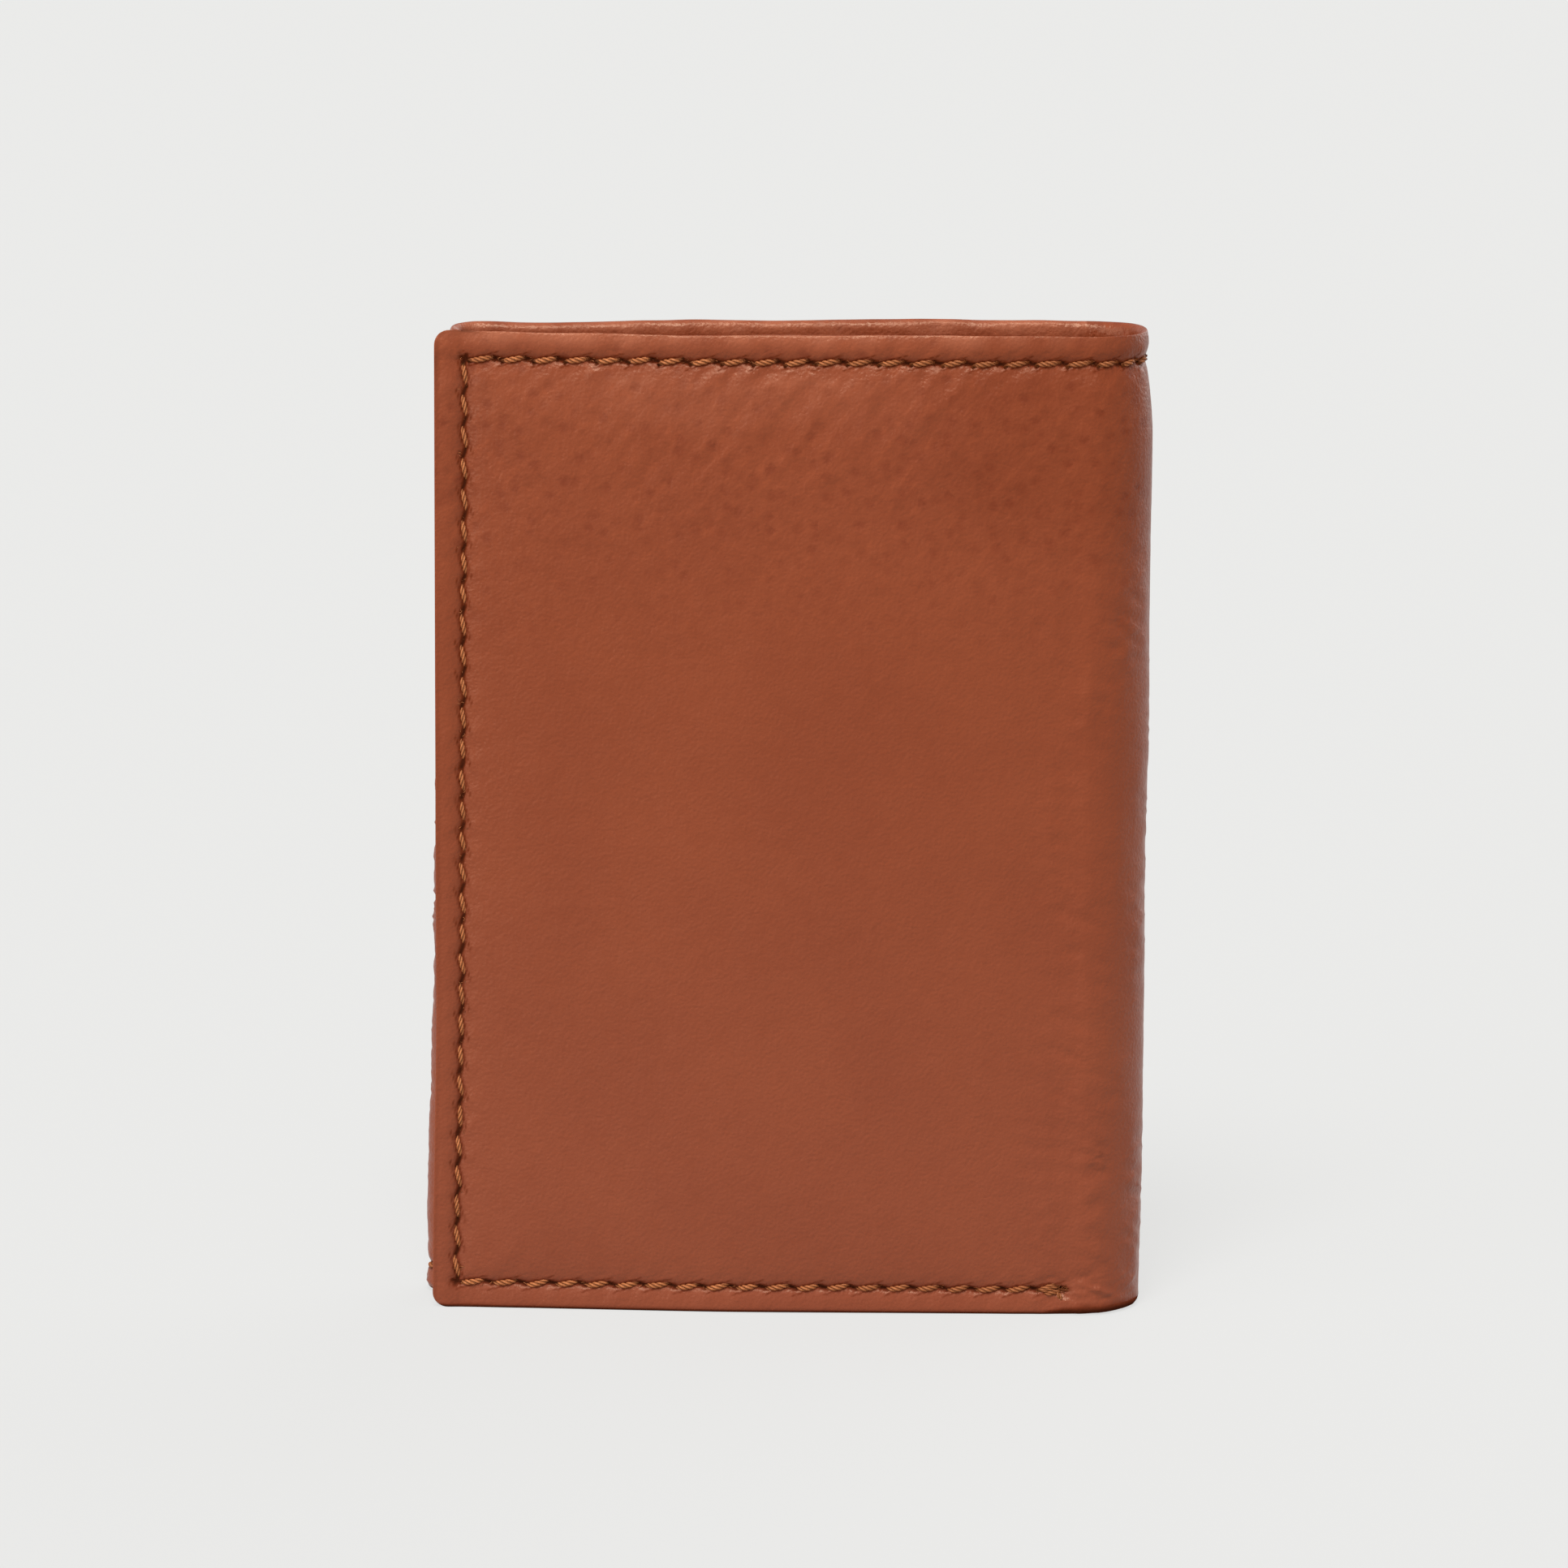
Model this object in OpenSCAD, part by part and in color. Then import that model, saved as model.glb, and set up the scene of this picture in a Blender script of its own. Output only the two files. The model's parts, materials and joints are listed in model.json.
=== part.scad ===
/* [Wallet] */
// Width of the folded wallet
closed_w = 81; // [79:0.5:88]
// Height of the folded wallet
body_h = 113; // [105:1:120]
// Thickness of the folded wallet
body_t = 15; // [15:0.1:17]
// Radius of the corners on free leather edges
corner_r = 1.6; // [1:0.1:2.5]

/* [Layers] */
// Thickness of the outer leather
shell_t = 1.1; // [1:0.05:1.15]
// Thickness of the lining behind the leather
lining_t = 0.3; // [0.2:0.05:0.35]
// Thickness of the board let into the back of the leather
stiffener_t = 0.3; // [0.2:0.05:0.4]
// Clear width of the note compartment
note_gap = 0.4; // [0.3:0.05:0.45]
// Thickness of the wall that closes the note compartment
wall_t = 0.5; // [0.4:0.05:0.55]
// Thickness of one card pocket panel
pocket_t = 0.45; // [0.35:0.05:0.5]
// Clear width of one card pocket
card_gap = 0.25; // [0.2:0.05:0.3]
// Thickness of the clear window film
film_t = 0.25; // [0.2:0.05:0.3]
// Thickness of the window frame
frame_t = 0.6; // [0.5:0.05:0.7]

/* [Folds] */
// Distance of the inner flap's outer face in front of the middle plane
inner_lead = 1.2; // [1.1:0.05:1.25]
// Length of the inner flap, from the centre of its fold to its tip
inner_len = 55; // [45:0.5:55]
// Height that the inner flap loses at its top and at its bottom
inner_drop = 1; // [0.8:0.1:2]
// Width of the cut between two segments at a fold line
fold_cut = 0.3; // [0.2:0.05:0.4]
// Clearance between the inner flap's pockets and the window frame
pack_gap = 0.3; // [0.2:0.05:0.4]

/* [Pockets] */
// Drop of the note compartment wall below the leather's top edge
wall_drop = 5; // [4:0.5:8]
// Drop of the highest card pocket below the leather's top edge
pocket_drop = 12; // [10:0.5:16]
// Step between the tops of two card pockets
pocket_step = 11; // [8:0.5:14]
// Width of the rim that the window frame keeps on each side
frame_rim = 6; // [5:0.5:9]
// Corner radius of the window
window_r = 3; // [2:0.5:5]

/* [Stitching] */
// Distance from one stitch to the next
stitch_pitch = 3.6; // [3:0.1:4.5]
// Length of one stitch
stitch_len = 2.8; // [2:0.1:2.9]
// Diameter of the thread
thread_d = 0.5; // [0.4:0.05:0.6]
// Distance of a seam from the leather's edge
seam_inset = 3; // [2.5:0.1:4]
// Width of the channel that a seam lies in
groove_w = 0.9; // [0.8:0.05:1.2]
// Depth of the channel that a seam lies in
groove_d = 0.4; // [0.35:0.05:0.5]

/* [Hidden] */
$fn = 64;

// Layers are given by their depth below the outer face of their own panel
skin_depth = shell_t + lining_t;
wall_top_depth = skin_depth + note_gap;
wall_depth = wall_top_depth + wall_t;
pocket_pitch = card_gap + pocket_t;

// A fold is [centre x, centre y, outer radius]
outer_r = body_t / 2;
inner_r = (outer_r + inner_lead) / 2;
OUTER_FOLD = [closed_w / 2 - outer_r, 0, outer_r];
INNER_FOLD = [inner_r - closed_w / 2, outer_r - inner_r, inner_r];

// A panel is [y of its outer face, direction of increasing depth]
CENTRE = [outer_r, -1];
OUTER_FLAP = [-outer_r, 1];
INNER_FLAP = [-inner_lead, 1];

// Angles that the segments of each fold cover, clear of the cuts at the fold lines
outer_cut = asin(fold_cut / 2 / outer_r);
inner_cut = asin(fold_cut / 2 / inner_r);
CENTRE_RIGHT_ARC = [60 + outer_cut, 90];
SPINE_REAR_ARC = [outer_cut, 60 - outer_cut];
SPINE_FRONT_ARC = [outer_cut - 60, -outer_cut];
FLAP_ARC = [-90, -60 - outer_cut];
CENTRE_LEFT_ARC = [90, 135 - inner_cut];
INNER_SPINE_ARC = [135 + inner_cut, 225 - inner_cut];
INNER_FLAP_ARC = [225 + inner_cut, 270];

// Ends of the panels
centre_x0 = INNER_FOLD[0];
centre_x1 = OUTER_FOLD[0];
flap_edge_x = 0.4 - closed_w / 2;
inner_tip_x = INNER_FOLD[0] + inner_len;

// Heights
hem = 0.8;
wall_top = body_h - wall_drop;
pocket_top = body_h - pocket_drop;
slip_top = pocket_top + 4;
seam_top_z = body_h - seam_inset;
inner_z0 = inner_drop;
inner_z1 = body_h - inner_drop;
panel_margin = 1.2;
stiffener_margin = 6;

// The window frame stands just behind the inner flap's pockets
inner_stack = wall_depth + 2 * pocket_pitch;
frame_depth = outer_r + inner_lead - inner_stack - pack_gap;
film_depth = frame_depth - frame_t;
centre_gap = (film_depth - film_t - pocket_t - wall_depth) / 2;
slip_depth = wall_depth + centre_gap;
frame_x0 = centre_x0 + 3;
frame_x1 = centre_x1 - 3;

// Colours
LEATHER = [0.57, 0.29, 0.19];
INNER_LEATHER = [0.5, 0.25, 0.16];
THREAD = [0.78, 0.45, 0.22];
LINING = [0.36, 0.22, 0.15];
BOARD = [0.72, 0.66, 0.55];
FILM = [0.85, 0.9, 0.92, 0.35];

// Cuts the corner at [x, z] to radius r; sx and sz point into the sheet
module corner_cut(x, z, sx, sz, r) {
    difference() {
        translate([sx > 0 ? x - 1 : x - r, sz > 0 ? z - 1 : z - r]) square(r + 1);
        translate([x + sx * r, z + sz * r]) circle(r);
    }
}

// Flat layer of a panel between two depths
module flat_layer(panel, depth, x, z) {
    raise(z) panel_outline(panel, depth, x);
}

// Outline, seen from above, of a fold's layer between two depths and two angles
module fold_outline(fold, arc, depth) {
    reach = 2 * fold[2];
    middle = (arc[0] + arc[1]) / 2;
    translate([fold[0], fold[1]])
        intersection() {
            difference() {
                circle(fold[2] - depth[0]);
                circle(fold[2] - depth[1]);
            }
            polygon([
                [0, 0],
                reach * [cos(arc[0]), sin(arc[0])],
                reach * [cos(middle), sin(middle)],
                reach * [cos(arc[1]), sin(arc[1])]
            ]);
        }
}

// Outline, seen from above, of a panel's layer between two depths
module panel_outline(panel, depth, x) {
    y0 = panel[0] + (panel[1] > 0 ? depth[0] : -depth[1]);
    translate([x[0], y0]) square([x[1] - x[0], depth[1] - depth[0]]);
}

// Raises an outline between two heights
module raise(z) {
    translate([0, 0, z[0]]) linear_extrude(height = z[1] - z[0]) children();
}

// Curved layer of a fold between two depths and two angles
module fold_layer(fold, arc, depth, z) {
    raise(z) fold_outline(fold, arc, depth);
}

// One layer of the centre panel with its part of both folds
module centre_layer(depth, z) {
    raise(z) {
        panel_outline(CENTRE, depth, [centre_x0, centre_x1]);
        fold_outline(OUTER_FOLD, CENTRE_RIGHT_ARC, depth);
        fold_outline(INNER_FOLD, CENTRE_LEFT_ARC, depth);
    }
}

// One layer of the outer flap with its part of the right fold
module outer_flap_layer(depth, z, edge_x) {
    raise(z) {
        panel_outline(OUTER_FLAP, depth, [edge_x, centre_x1]);
        fold_outline(OUTER_FOLD, FLAP_ARC, depth);
    }
}

// One layer of the inner flap with its part of the left fold
module inner_flap_layer(depth, z, tip_x) {
    raise(z) {
        panel_outline(INNER_FLAP, depth, [centre_x0, tip_x]);
        fold_outline(INNER_FOLD, INNER_FLAP_ARC, depth);
    }
}

// Cuts that round the two corners of a panel's free edge at x; side points into the panel
module edge_rounding(panel, x, z, side) {
    translate([0, panel[0] + 20, 0])
        rotate([90, 0, 0])
            linear_extrude(height = 40) {
                corner_cut(x, z[0], side, 1, corner_r);
                corner_cut(x, z[1], side, -1, corner_r);
            }
}

// Channel for a seam that runs along a panel at height z
module level_groove(panel, x, z) {
    flat_layer(panel, [-1, groove_d], x, [z - groove_w / 2, z + groove_w / 2]);
}

// Channel for a seam that runs up a panel at x
module upright_groove(panel, x, z) {
    flat_layer(panel, [-1, groove_d], [x - groove_w / 2, x + groove_w / 2], z);
}

// Channel for a seam that runs round a fold at height z
module fold_groove(fold, arc, z) {
    fold_layer(fold, arc, [-1, groove_d], [z - groove_w / 2, z + groove_w / 2]);
}

// Row of stitches along a panel at height z
module level_stitches(panel, x, z) {
    count = floor((x[1] - x[0]) / stitch_pitch);
    step = (x[1] - x[0]) / count;
    for (i = [0:count - 1])
        translate([x[0] + (i + 0.5) * step, panel[0] + panel[1] * thread_d / 5, z])
            rotate([0, 90, 0])
                cylinder(d = thread_d, h = stitch_len, center = true, $fn = 24);
}

// Row of stitches up a panel at x
module upright_stitches(panel, x, z) {
    count = floor((z[1] - z[0]) / stitch_pitch);
    step = (z[1] - z[0]) / count;
    for (i = [0:count - 1])
        translate([x, panel[0] + panel[1] * thread_d / 5, z[0] + (i + 0.5) * step])
            cylinder(d = thread_d, h = stitch_len, center = true, $fn = 24);
}

// Stitches round a fold at height z, one at each angle
module fold_stitches(fold, angles, z) {
    span = stitch_len * 0.8 / fold[2] * 180 / PI;
    for (a = angles)
        translate([fold[0], fold[1], z])
            rotate([0, 0, a - span / 2])
                rotate_extrude(angle = span)
                    translate([fold[2] - thread_d / 5, 0])
                        circle(d = thread_d, $fn = 24);
}

// Board let into the back of a panel's leather
module stiffener(panel, x, z) {
    flat_layer(panel, [shell_t - stiffener_t, shell_t], x, z);
}

module centre_board() {
    stiffener(CENTRE, [centre_x0 + 2, centre_x1 - 2], [stiffener_margin, body_h - stiffener_margin]);
}

module outer_board() {
    stiffener(OUTER_FLAP, [flap_edge_x + stiffener_margin, centre_x1 - 2],
        [stiffener_margin, body_h - stiffener_margin]);
}

module inner_board() {
    stiffener(INNER_FLAP, [centre_x0 + 2, inner_tip_x - stiffener_margin],
        [stiffener_margin, body_h - stiffener_margin]);
}

// Centre panel

module shell_centre() {
    color(LEATHER)
        difference() {
            centre_layer([0, shell_t], [0, body_h]);
            centre_board();
            for (z = [seam_inset, seam_top_z]) {
                level_groove(CENTRE, [centre_x0 - 1, centre_x1 + 1], z);
                fold_groove(INNER_FOLD, CENTRE_LEFT_ARC, z);
            }
            fold_groove(OUTER_FOLD, CENTRE_RIGHT_ARC, seam_top_z);
        }
}

module stiffener_centre() {
    color(BOARD) centre_board();
}

module lining_centre() {
    color(LINING) centre_layer([shell_t, skin_depth], [hem, body_h - hem]);
}

module bill_wall_centre() {
    color(INNER_LEATHER) centre_layer([wall_top_depth, wall_depth], [hem, wall_top]);
}

module slip_pocket_centre() {
    color(INNER_LEATHER)
        flat_layer(CENTRE, [slip_depth, slip_depth + pocket_t], [frame_x0, frame_x1], [hem, slip_top]);
}

module id_window_film() {
    color(FILM)
        flat_layer(CENTRE, [film_depth - film_t, film_depth],
            [frame_x0 + frame_rim / 2, frame_x1 - frame_rim / 2],
            [hem + frame_rim / 2, pocket_top - frame_rim / 2]);
}

module id_window_frame() {
    window_x = [frame_x0 + frame_rim, frame_x1 - frame_rim];
    window_z = [hem + frame_rim, pocket_top - frame_rim];
    color(INNER_LEATHER)
        difference() {
            flat_layer(CENTRE, [film_depth, frame_depth], [frame_x0, frame_x1], [hem, pocket_top]);
            translate([0, outer_r, 0])
                rotate([90, 0, 0])
                    linear_extrude(height = body_t)
                        difference() {
                            translate([window_x[0], window_z[0]])
                                square([window_x[1] - window_x[0], window_z[1] - window_z[0]]);
                            for (z = [0, 1]) {
                                corner_cut(window_x[0], window_z[z], 1, 1 - 2 * z, window_r);
                                corner_cut(window_x[1], window_z[z], -1, 1 - 2 * z, window_r);
                            }
                        }
        }
}

module stitching_centre() {
    color(THREAD) {
        level_stitches(CENTRE, [centre_x0, centre_x1], seam_top_z);
        level_stitches(CENTRE, [centre_x0, centre_x1], seam_inset);
        fold_stitches(INNER_FOLD, [112.5], seam_top_z);
        fold_stitches(INNER_FOLD, [112.5], seam_inset);
        fold_stitches(OUTER_FOLD, [75], seam_top_z);
    }
}

// Right fold

module spine_shell(arc) {
    color(LEATHER)
        difference() {
            fold_layer(OUTER_FOLD, arc, [0, shell_t], [0, body_h]);
            fold_groove(OUTER_FOLD, [arc[0] - 5, arc[1] + 5], seam_top_z);
        }
}

module spine_lining(arc) {
    color(LINING) fold_layer(OUTER_FOLD, arc, [shell_t, skin_depth], [hem, body_h - hem]);
}

module spine_wall(arc) {
    color(INNER_LEATHER) fold_layer(OUTER_FOLD, arc, [wall_top_depth, wall_depth], [hem, wall_top]);
}

module shell_spine_rear() {
    spine_shell(SPINE_REAR_ARC);
}

module lining_spine_rear() {
    spine_lining(SPINE_REAR_ARC);
}

module bill_wall_spine_rear() {
    spine_wall(SPINE_REAR_ARC);
}

module stitching_spine_rear() {
    color(THREAD) fold_stitches(OUTER_FOLD, [15, 45], seam_top_z);
}

module shell_spine_front() {
    spine_shell(SPINE_FRONT_ARC);
}

module lining_spine_front() {
    spine_lining(SPINE_FRONT_ARC);
}

module bill_wall_spine_front() {
    spine_wall(SPINE_FRONT_ARC);
}

module stitching_spine_front() {
    color(THREAD) fold_stitches(OUTER_FOLD, [-45, -15], seam_top_z);
}

// Outer flap

module shell_outer_flap() {
    color(LEATHER)
        difference() {
            outer_flap_layer([0, shell_t], [0, body_h], flap_edge_x);
            edge_rounding(OUTER_FLAP, flap_edge_x, [0, body_h], 1);
            outer_board();
            level_groove(OUTER_FLAP, [flap_edge_x + seam_inset, centre_x1 + 1], seam_top_z);
            level_groove(OUTER_FLAP, [flap_edge_x + seam_inset, centre_x1], seam_inset);
            upright_groove(OUTER_FLAP, flap_edge_x + seam_inset, [seam_inset, seam_top_z]);
            fold_groove(OUTER_FOLD, [FLAP_ARC[0], FLAP_ARC[1] + 5], seam_top_z);
        }
}

module stiffener_outer_flap() {
    color(BOARD) outer_board();
}

module lining_outer_flap() {
    color(LINING)
        outer_flap_layer([shell_t, skin_depth], [hem, body_h - hem], flap_edge_x + hem);
}

module bill_wall_outer_flap() {
    color(INNER_LEATHER)
        outer_flap_layer([wall_top_depth, wall_depth], [hem, wall_top], flap_edge_x + hem);
}

// Card pocket of the outer flap; number 1 is the tallest and lies next to the wall
module card_pocket_outer(number) {
    top_depth = wall_depth + (number - 1) * pocket_pitch + card_gap;
    color(INNER_LEATHER)
        flat_layer(OUTER_FLAP, [top_depth, top_depth + pocket_t],
            [flap_edge_x + panel_margin, centre_x1 - panel_margin],
            [hem, pocket_top - (number - 1) * pocket_step]);
}

module card_pocket_outer_1() {
    card_pocket_outer(1);
}

module card_pocket_outer_2() {
    card_pocket_outer(2);
}

module card_pocket_outer_3() {
    card_pocket_outer(3);
}

module stitching_outer_flap() {
    seam_x = flap_edge_x + seam_inset;
    color(THREAD) {
        level_stitches(OUTER_FLAP, [seam_x, centre_x1], seam_top_z);
        level_stitches(OUTER_FLAP, [seam_x, centre_x1], seam_inset);
        upright_stitches(OUTER_FLAP, seam_x, [seam_inset + 0.6, seam_top_z - 0.6]);
        fold_stitches(OUTER_FOLD, [-75], seam_top_z);
    }
}

// Left fold

module shell_inner_spine() {
    color(LEATHER)
        difference() {
            fold_layer(INNER_FOLD, INNER_SPINE_ARC, [0, shell_t], [0, body_h]);
            for (z = [seam_inset, seam_top_z])
                fold_groove(INNER_FOLD, [INNER_SPINE_ARC[0] - 5, INNER_SPINE_ARC[1] + 5], z);
        }
}

module lining_inner_spine() {
    color(LINING) fold_layer(INNER_FOLD, INNER_SPINE_ARC, [shell_t, skin_depth], [hem, body_h - hem]);
}

module bill_wall_inner_spine() {
    color(INNER_LEATHER)
        fold_layer(INNER_FOLD, INNER_SPINE_ARC, [wall_top_depth, wall_depth], [hem, wall_top]);
}

module stitching_inner_spine() {
    color(THREAD)
        for (z = [seam_inset, seam_top_z])
            fold_stitches(INNER_FOLD, [157.5, 202.5], z);
}

// Inner flap

module shell_inner_flap() {
    color(LEATHER)
        difference() {
            inner_flap_layer([0, shell_t], [inner_z0, inner_z1], inner_tip_x);
            edge_rounding(INNER_FLAP, inner_tip_x, [inner_z0, inner_z1], -1);
            inner_board();
            for (z = [seam_inset, seam_top_z]) {
                level_groove(INNER_FLAP, [centre_x0 - 1, inner_tip_x - seam_inset], z);
                fold_groove(INNER_FOLD, [INNER_FLAP_ARC[0] - 5, INNER_FLAP_ARC[1]], z);
            }
            upright_groove(INNER_FLAP, inner_tip_x - seam_inset, [seam_inset, seam_top_z]);
        }
}

module stiffener_inner_flap() {
    color(BOARD) inner_board();
}

module lining_inner_flap() {
    color(LINING)
        inner_flap_layer([shell_t, skin_depth], [inner_z0 + hem, inner_z1 - hem], inner_tip_x - hem);
}

module bill_wall_inner_flap() {
    color(INNER_LEATHER)
        inner_flap_layer([wall_top_depth, wall_depth], [inner_z0 + hem, wall_top], inner_tip_x - hem);
}

// Card pocket of the inner flap; number 1 is the taller and lies next to the wall
module card_pocket_inner(number) {
    top_depth = wall_depth + (number - 1) * pocket_pitch + card_gap;
    color(INNER_LEATHER)
        flat_layer(INNER_FLAP, [top_depth, top_depth + pocket_t],
            [centre_x0 + panel_margin, inner_tip_x - panel_margin],
            [inner_z0 + hem, pocket_top - (number - 1) * pocket_step]);
}

module card_pocket_inner_1() {
    card_pocket_inner(1);
}

module card_pocket_inner_2() {
    card_pocket_inner(2);
}

module stitching_inner_flap() {
    seam_x = inner_tip_x - seam_inset;
    color(THREAD) {
        for (z = [seam_inset, seam_top_z]) {
            level_stitches(INNER_FLAP, [centre_x0, seam_x], z);
            fold_stitches(INNER_FOLD, [247.5], z);
        }
        upright_stitches(INNER_FLAP, seam_x, [seam_inset + 0.6, seam_top_z - 0.6]);
    }
}

shell_centre();
stiffener_centre();
lining_centre();
bill_wall_centre();
slip_pocket_centre();
id_window_film();
id_window_frame();
stitching_centre();
shell_spine_rear();
lining_spine_rear();
bill_wall_spine_rear();
stitching_spine_rear();
shell_spine_front();
lining_spine_front();
bill_wall_spine_front();
stitching_spine_front();
shell_outer_flap();
stiffener_outer_flap();
lining_outer_flap();
bill_wall_outer_flap();
card_pocket_outer_1();
card_pocket_outer_2();
card_pocket_outer_3();
stitching_outer_flap();
shell_inner_spine();
lining_inner_spine();
bill_wall_inner_spine();
stitching_inner_spine();
shell_inner_flap();
stiffener_inner_flap();
lining_inner_flap();
bill_wall_inner_flap();
card_pocket_inner_1();
card_pocket_inner_2();
stitching_inner_flap();
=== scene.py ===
"""Looks of the trifold wallet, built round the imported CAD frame.

The hide is one long strip. Every soft layer is made in the strip's own flat coordinates: s runs along
the strip from the outer flap's free edge to the inner flap's tip, z is height, and depth is measured
inwards from the hide's outer face. plan() folds the strip into the closed wallet.
"""

import json
import math

import bpy
import numpy as np
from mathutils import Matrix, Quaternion, Vector


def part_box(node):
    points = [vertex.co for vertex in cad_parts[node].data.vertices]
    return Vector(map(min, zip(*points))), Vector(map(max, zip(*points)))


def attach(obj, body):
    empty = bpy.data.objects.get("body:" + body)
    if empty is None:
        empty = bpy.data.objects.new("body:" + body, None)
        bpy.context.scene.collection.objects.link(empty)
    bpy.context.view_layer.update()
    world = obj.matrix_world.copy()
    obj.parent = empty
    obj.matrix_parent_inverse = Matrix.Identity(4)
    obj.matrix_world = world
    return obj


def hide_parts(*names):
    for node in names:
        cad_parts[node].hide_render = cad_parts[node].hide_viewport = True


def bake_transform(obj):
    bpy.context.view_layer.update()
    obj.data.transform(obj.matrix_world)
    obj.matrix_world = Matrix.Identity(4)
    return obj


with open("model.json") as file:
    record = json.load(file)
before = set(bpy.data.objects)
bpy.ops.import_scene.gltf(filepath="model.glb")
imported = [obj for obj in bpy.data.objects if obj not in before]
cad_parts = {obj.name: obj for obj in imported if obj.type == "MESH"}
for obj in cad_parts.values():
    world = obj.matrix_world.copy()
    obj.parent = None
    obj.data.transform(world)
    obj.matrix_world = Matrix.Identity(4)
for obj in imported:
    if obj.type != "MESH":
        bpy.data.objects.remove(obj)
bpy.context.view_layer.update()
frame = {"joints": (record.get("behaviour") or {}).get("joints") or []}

MM = 0.001
JOINTS = {j["name"]: np.array(j["pos_m"]) for j in frame["joints"]}

# ---------------------------------------------------------------- sizes from the frame

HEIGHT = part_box("shell_centre")[1].z
OUTER_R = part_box("shell_centre")[1].y
OUTER_X = JOINTS["outer_fold_middle"][0] - OUTER_R
INNER_R = (JOINTS["inner_fold_rear"][1] - JOINTS["inner_fold_front"][1]) / (2 * math.sin(math.radians(45)))
INNER_X = JOINTS["inner_fold_rear"][0] + INNER_R * math.cos(math.radians(45))
INNER_Y = (JOINTS["inner_fold_rear"][1] + JOINTS["inner_fold_front"][1]) / 2
EDGE_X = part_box("shell_outer_flap")[0].x
TIP_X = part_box("shell_inner_flap")[1].x

# Places along the strip where a panel or a fold ends
S_FOLD = OUTER_X - EDGE_X
S_BACK = S_FOLD + math.pi * OUTER_R
S_INNER_FOLD = S_BACK + OUTER_X - INNER_X
S_INNER_FLAP = S_INNER_FOLD + math.pi * INNER_R
S_TIP = S_INNER_FLAP + TIP_X - INNER_X

# Places where one leather piece hands over to the next
S_FRONT_CUT = S_FOLD + OUTER_R * math.radians(60)
S_REAR_CUT = S_FOLD + OUTER_R * math.radians(120)
S_BACK_CUT = (S_BACK + S_INNER_FOLD) / 2
S_INNER_CUT = S_INNER_FOLD + INNER_R * math.radians(90)

# Layers: thicknesses, and how far each stops short or lies deep
LEATHER_T = 1.4 * MM
DEEPEST = LEATHER_T - 0.1 * MM
EDGE_ROUND = 0.7 * MM
CORNER_R = 1.7 * MM
TURNED_EDGE = 9 * MM
LINING_T = 0.22 * MM
LINING_INSET = 4.3 * MM
LINING_SUNK = 0.06 * MM
BOARD_T = 0.3 * MM
BOARD_DEPTH = 0.75 * MM
WALL_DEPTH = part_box("bill_wall_outer_flap")[0].y + OUTER_R
WALL_T = 0.5 * MM
WALL_INSET = 0.9 * MM
PRESSED_LINE = 1.9 * MM
FRAME_RIM = 6 * MM
FRAME_ROUND = 0.25 * MM
PINCH_REACH = 14 * MM
FOLD_REACH = 7 * MM
END_REACH = 8 * MM
FLAP_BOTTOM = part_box("shell_inner_flap")[0].z
FLAP_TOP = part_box("shell_inner_flap")[1].z
WALL_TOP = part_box("bill_wall_centre")[1].z

# Seams: distance from the leather's edge, and pitch of the stitches
SEAM_INSET = 3.0 * MM
TOP_SEAM = HEIGHT - 3.15 * MM
BOTTOM_SEAM = SEAM_INSET
EDGE_SEAM = 3.0 * MM
TIP_SEAM = S_TIP - SEAM_INSET
STITCH_PITCH = 3.52 * MM
SLANT = math.radians(10)
LEANS = {"s": 1, "z": -1}
THREAD_R = 0.33 * MM
TWIST_PITCH = 2.0 * MM
FIBRE_R = 0.05 * MM
DIVE = 0.55 * MM
EDGE_DRIFT = 0.40 * MM
BACKTACK_S = S_FOLD - 1.5 * MM
PUCKER_REACH = 1.2 * MM
FLOOR_GLOW = 0.657
RNG = np.random.default_rng(7)


# ---------------------------------------------------------------- noise

class Noise:
    """Smooth value noise on a repeating lattice."""

    SIZE = 256

    def __init__(self, seed):
        self.table = np.random.default_rng(seed).uniform(-1, 1, (self.SIZE, self.SIZE))

    def __call__(self, u, v):
        iu, iv = np.floor(u).astype(int), np.floor(v).astype(int)
        fu, fv = u - iu, v - iv
        fu, fv = fu * fu * (3 - 2 * fu), fv * fv * (3 - 2 * fv)
        pick = lambda a, b: self.table[a % self.SIZE, b % self.SIZE]
        low = pick(iu, iv) * (1 - fu) + pick(iu + 1, iv) * fu
        high = pick(iu, iv + 1) * (1 - fu) + pick(iu + 1, iv + 1) * fu
        return low * (1 - fv) + high * fv


def layered(noise, u, v, octaves=3):
    """Sum of octaves of one noise, each half as strong and twice as fine."""
    total = np.zeros(np.broadcast(u, v).shape)
    for k in range(octaves):
        total += noise(u * 2**k + 17.3 * k, v * 2**k + 9.1 * k) / 2**k
    return total


HIDE_NOISE = Noise(11)
WRINKLE_NOISE = Noise(23)
EDGE_NOISE = Noise(37)
FOLD_NOISE = Noise(51)
GATHER_NOISE = Noise(73)


def ease(low, high, x):
    """0 up to low, 1 from high on, and a smooth rise between."""
    t = np.clip((x - low) / (high - low), 0, 1)
    return t * t * (3 - 2 * t)


def between(x, start, full, still, end):
    """A smooth hill that rises from start to full and falls from still to end."""
    return ease(start, full, x) * (1 - ease(still, end, x))


def bump(x, centre, width):
    """A bell that is 1 at its centre."""
    return np.exp(-(((x - centre) / width) ** 2))


# ---------------------------------------------------------------- the strip, folded

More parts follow.
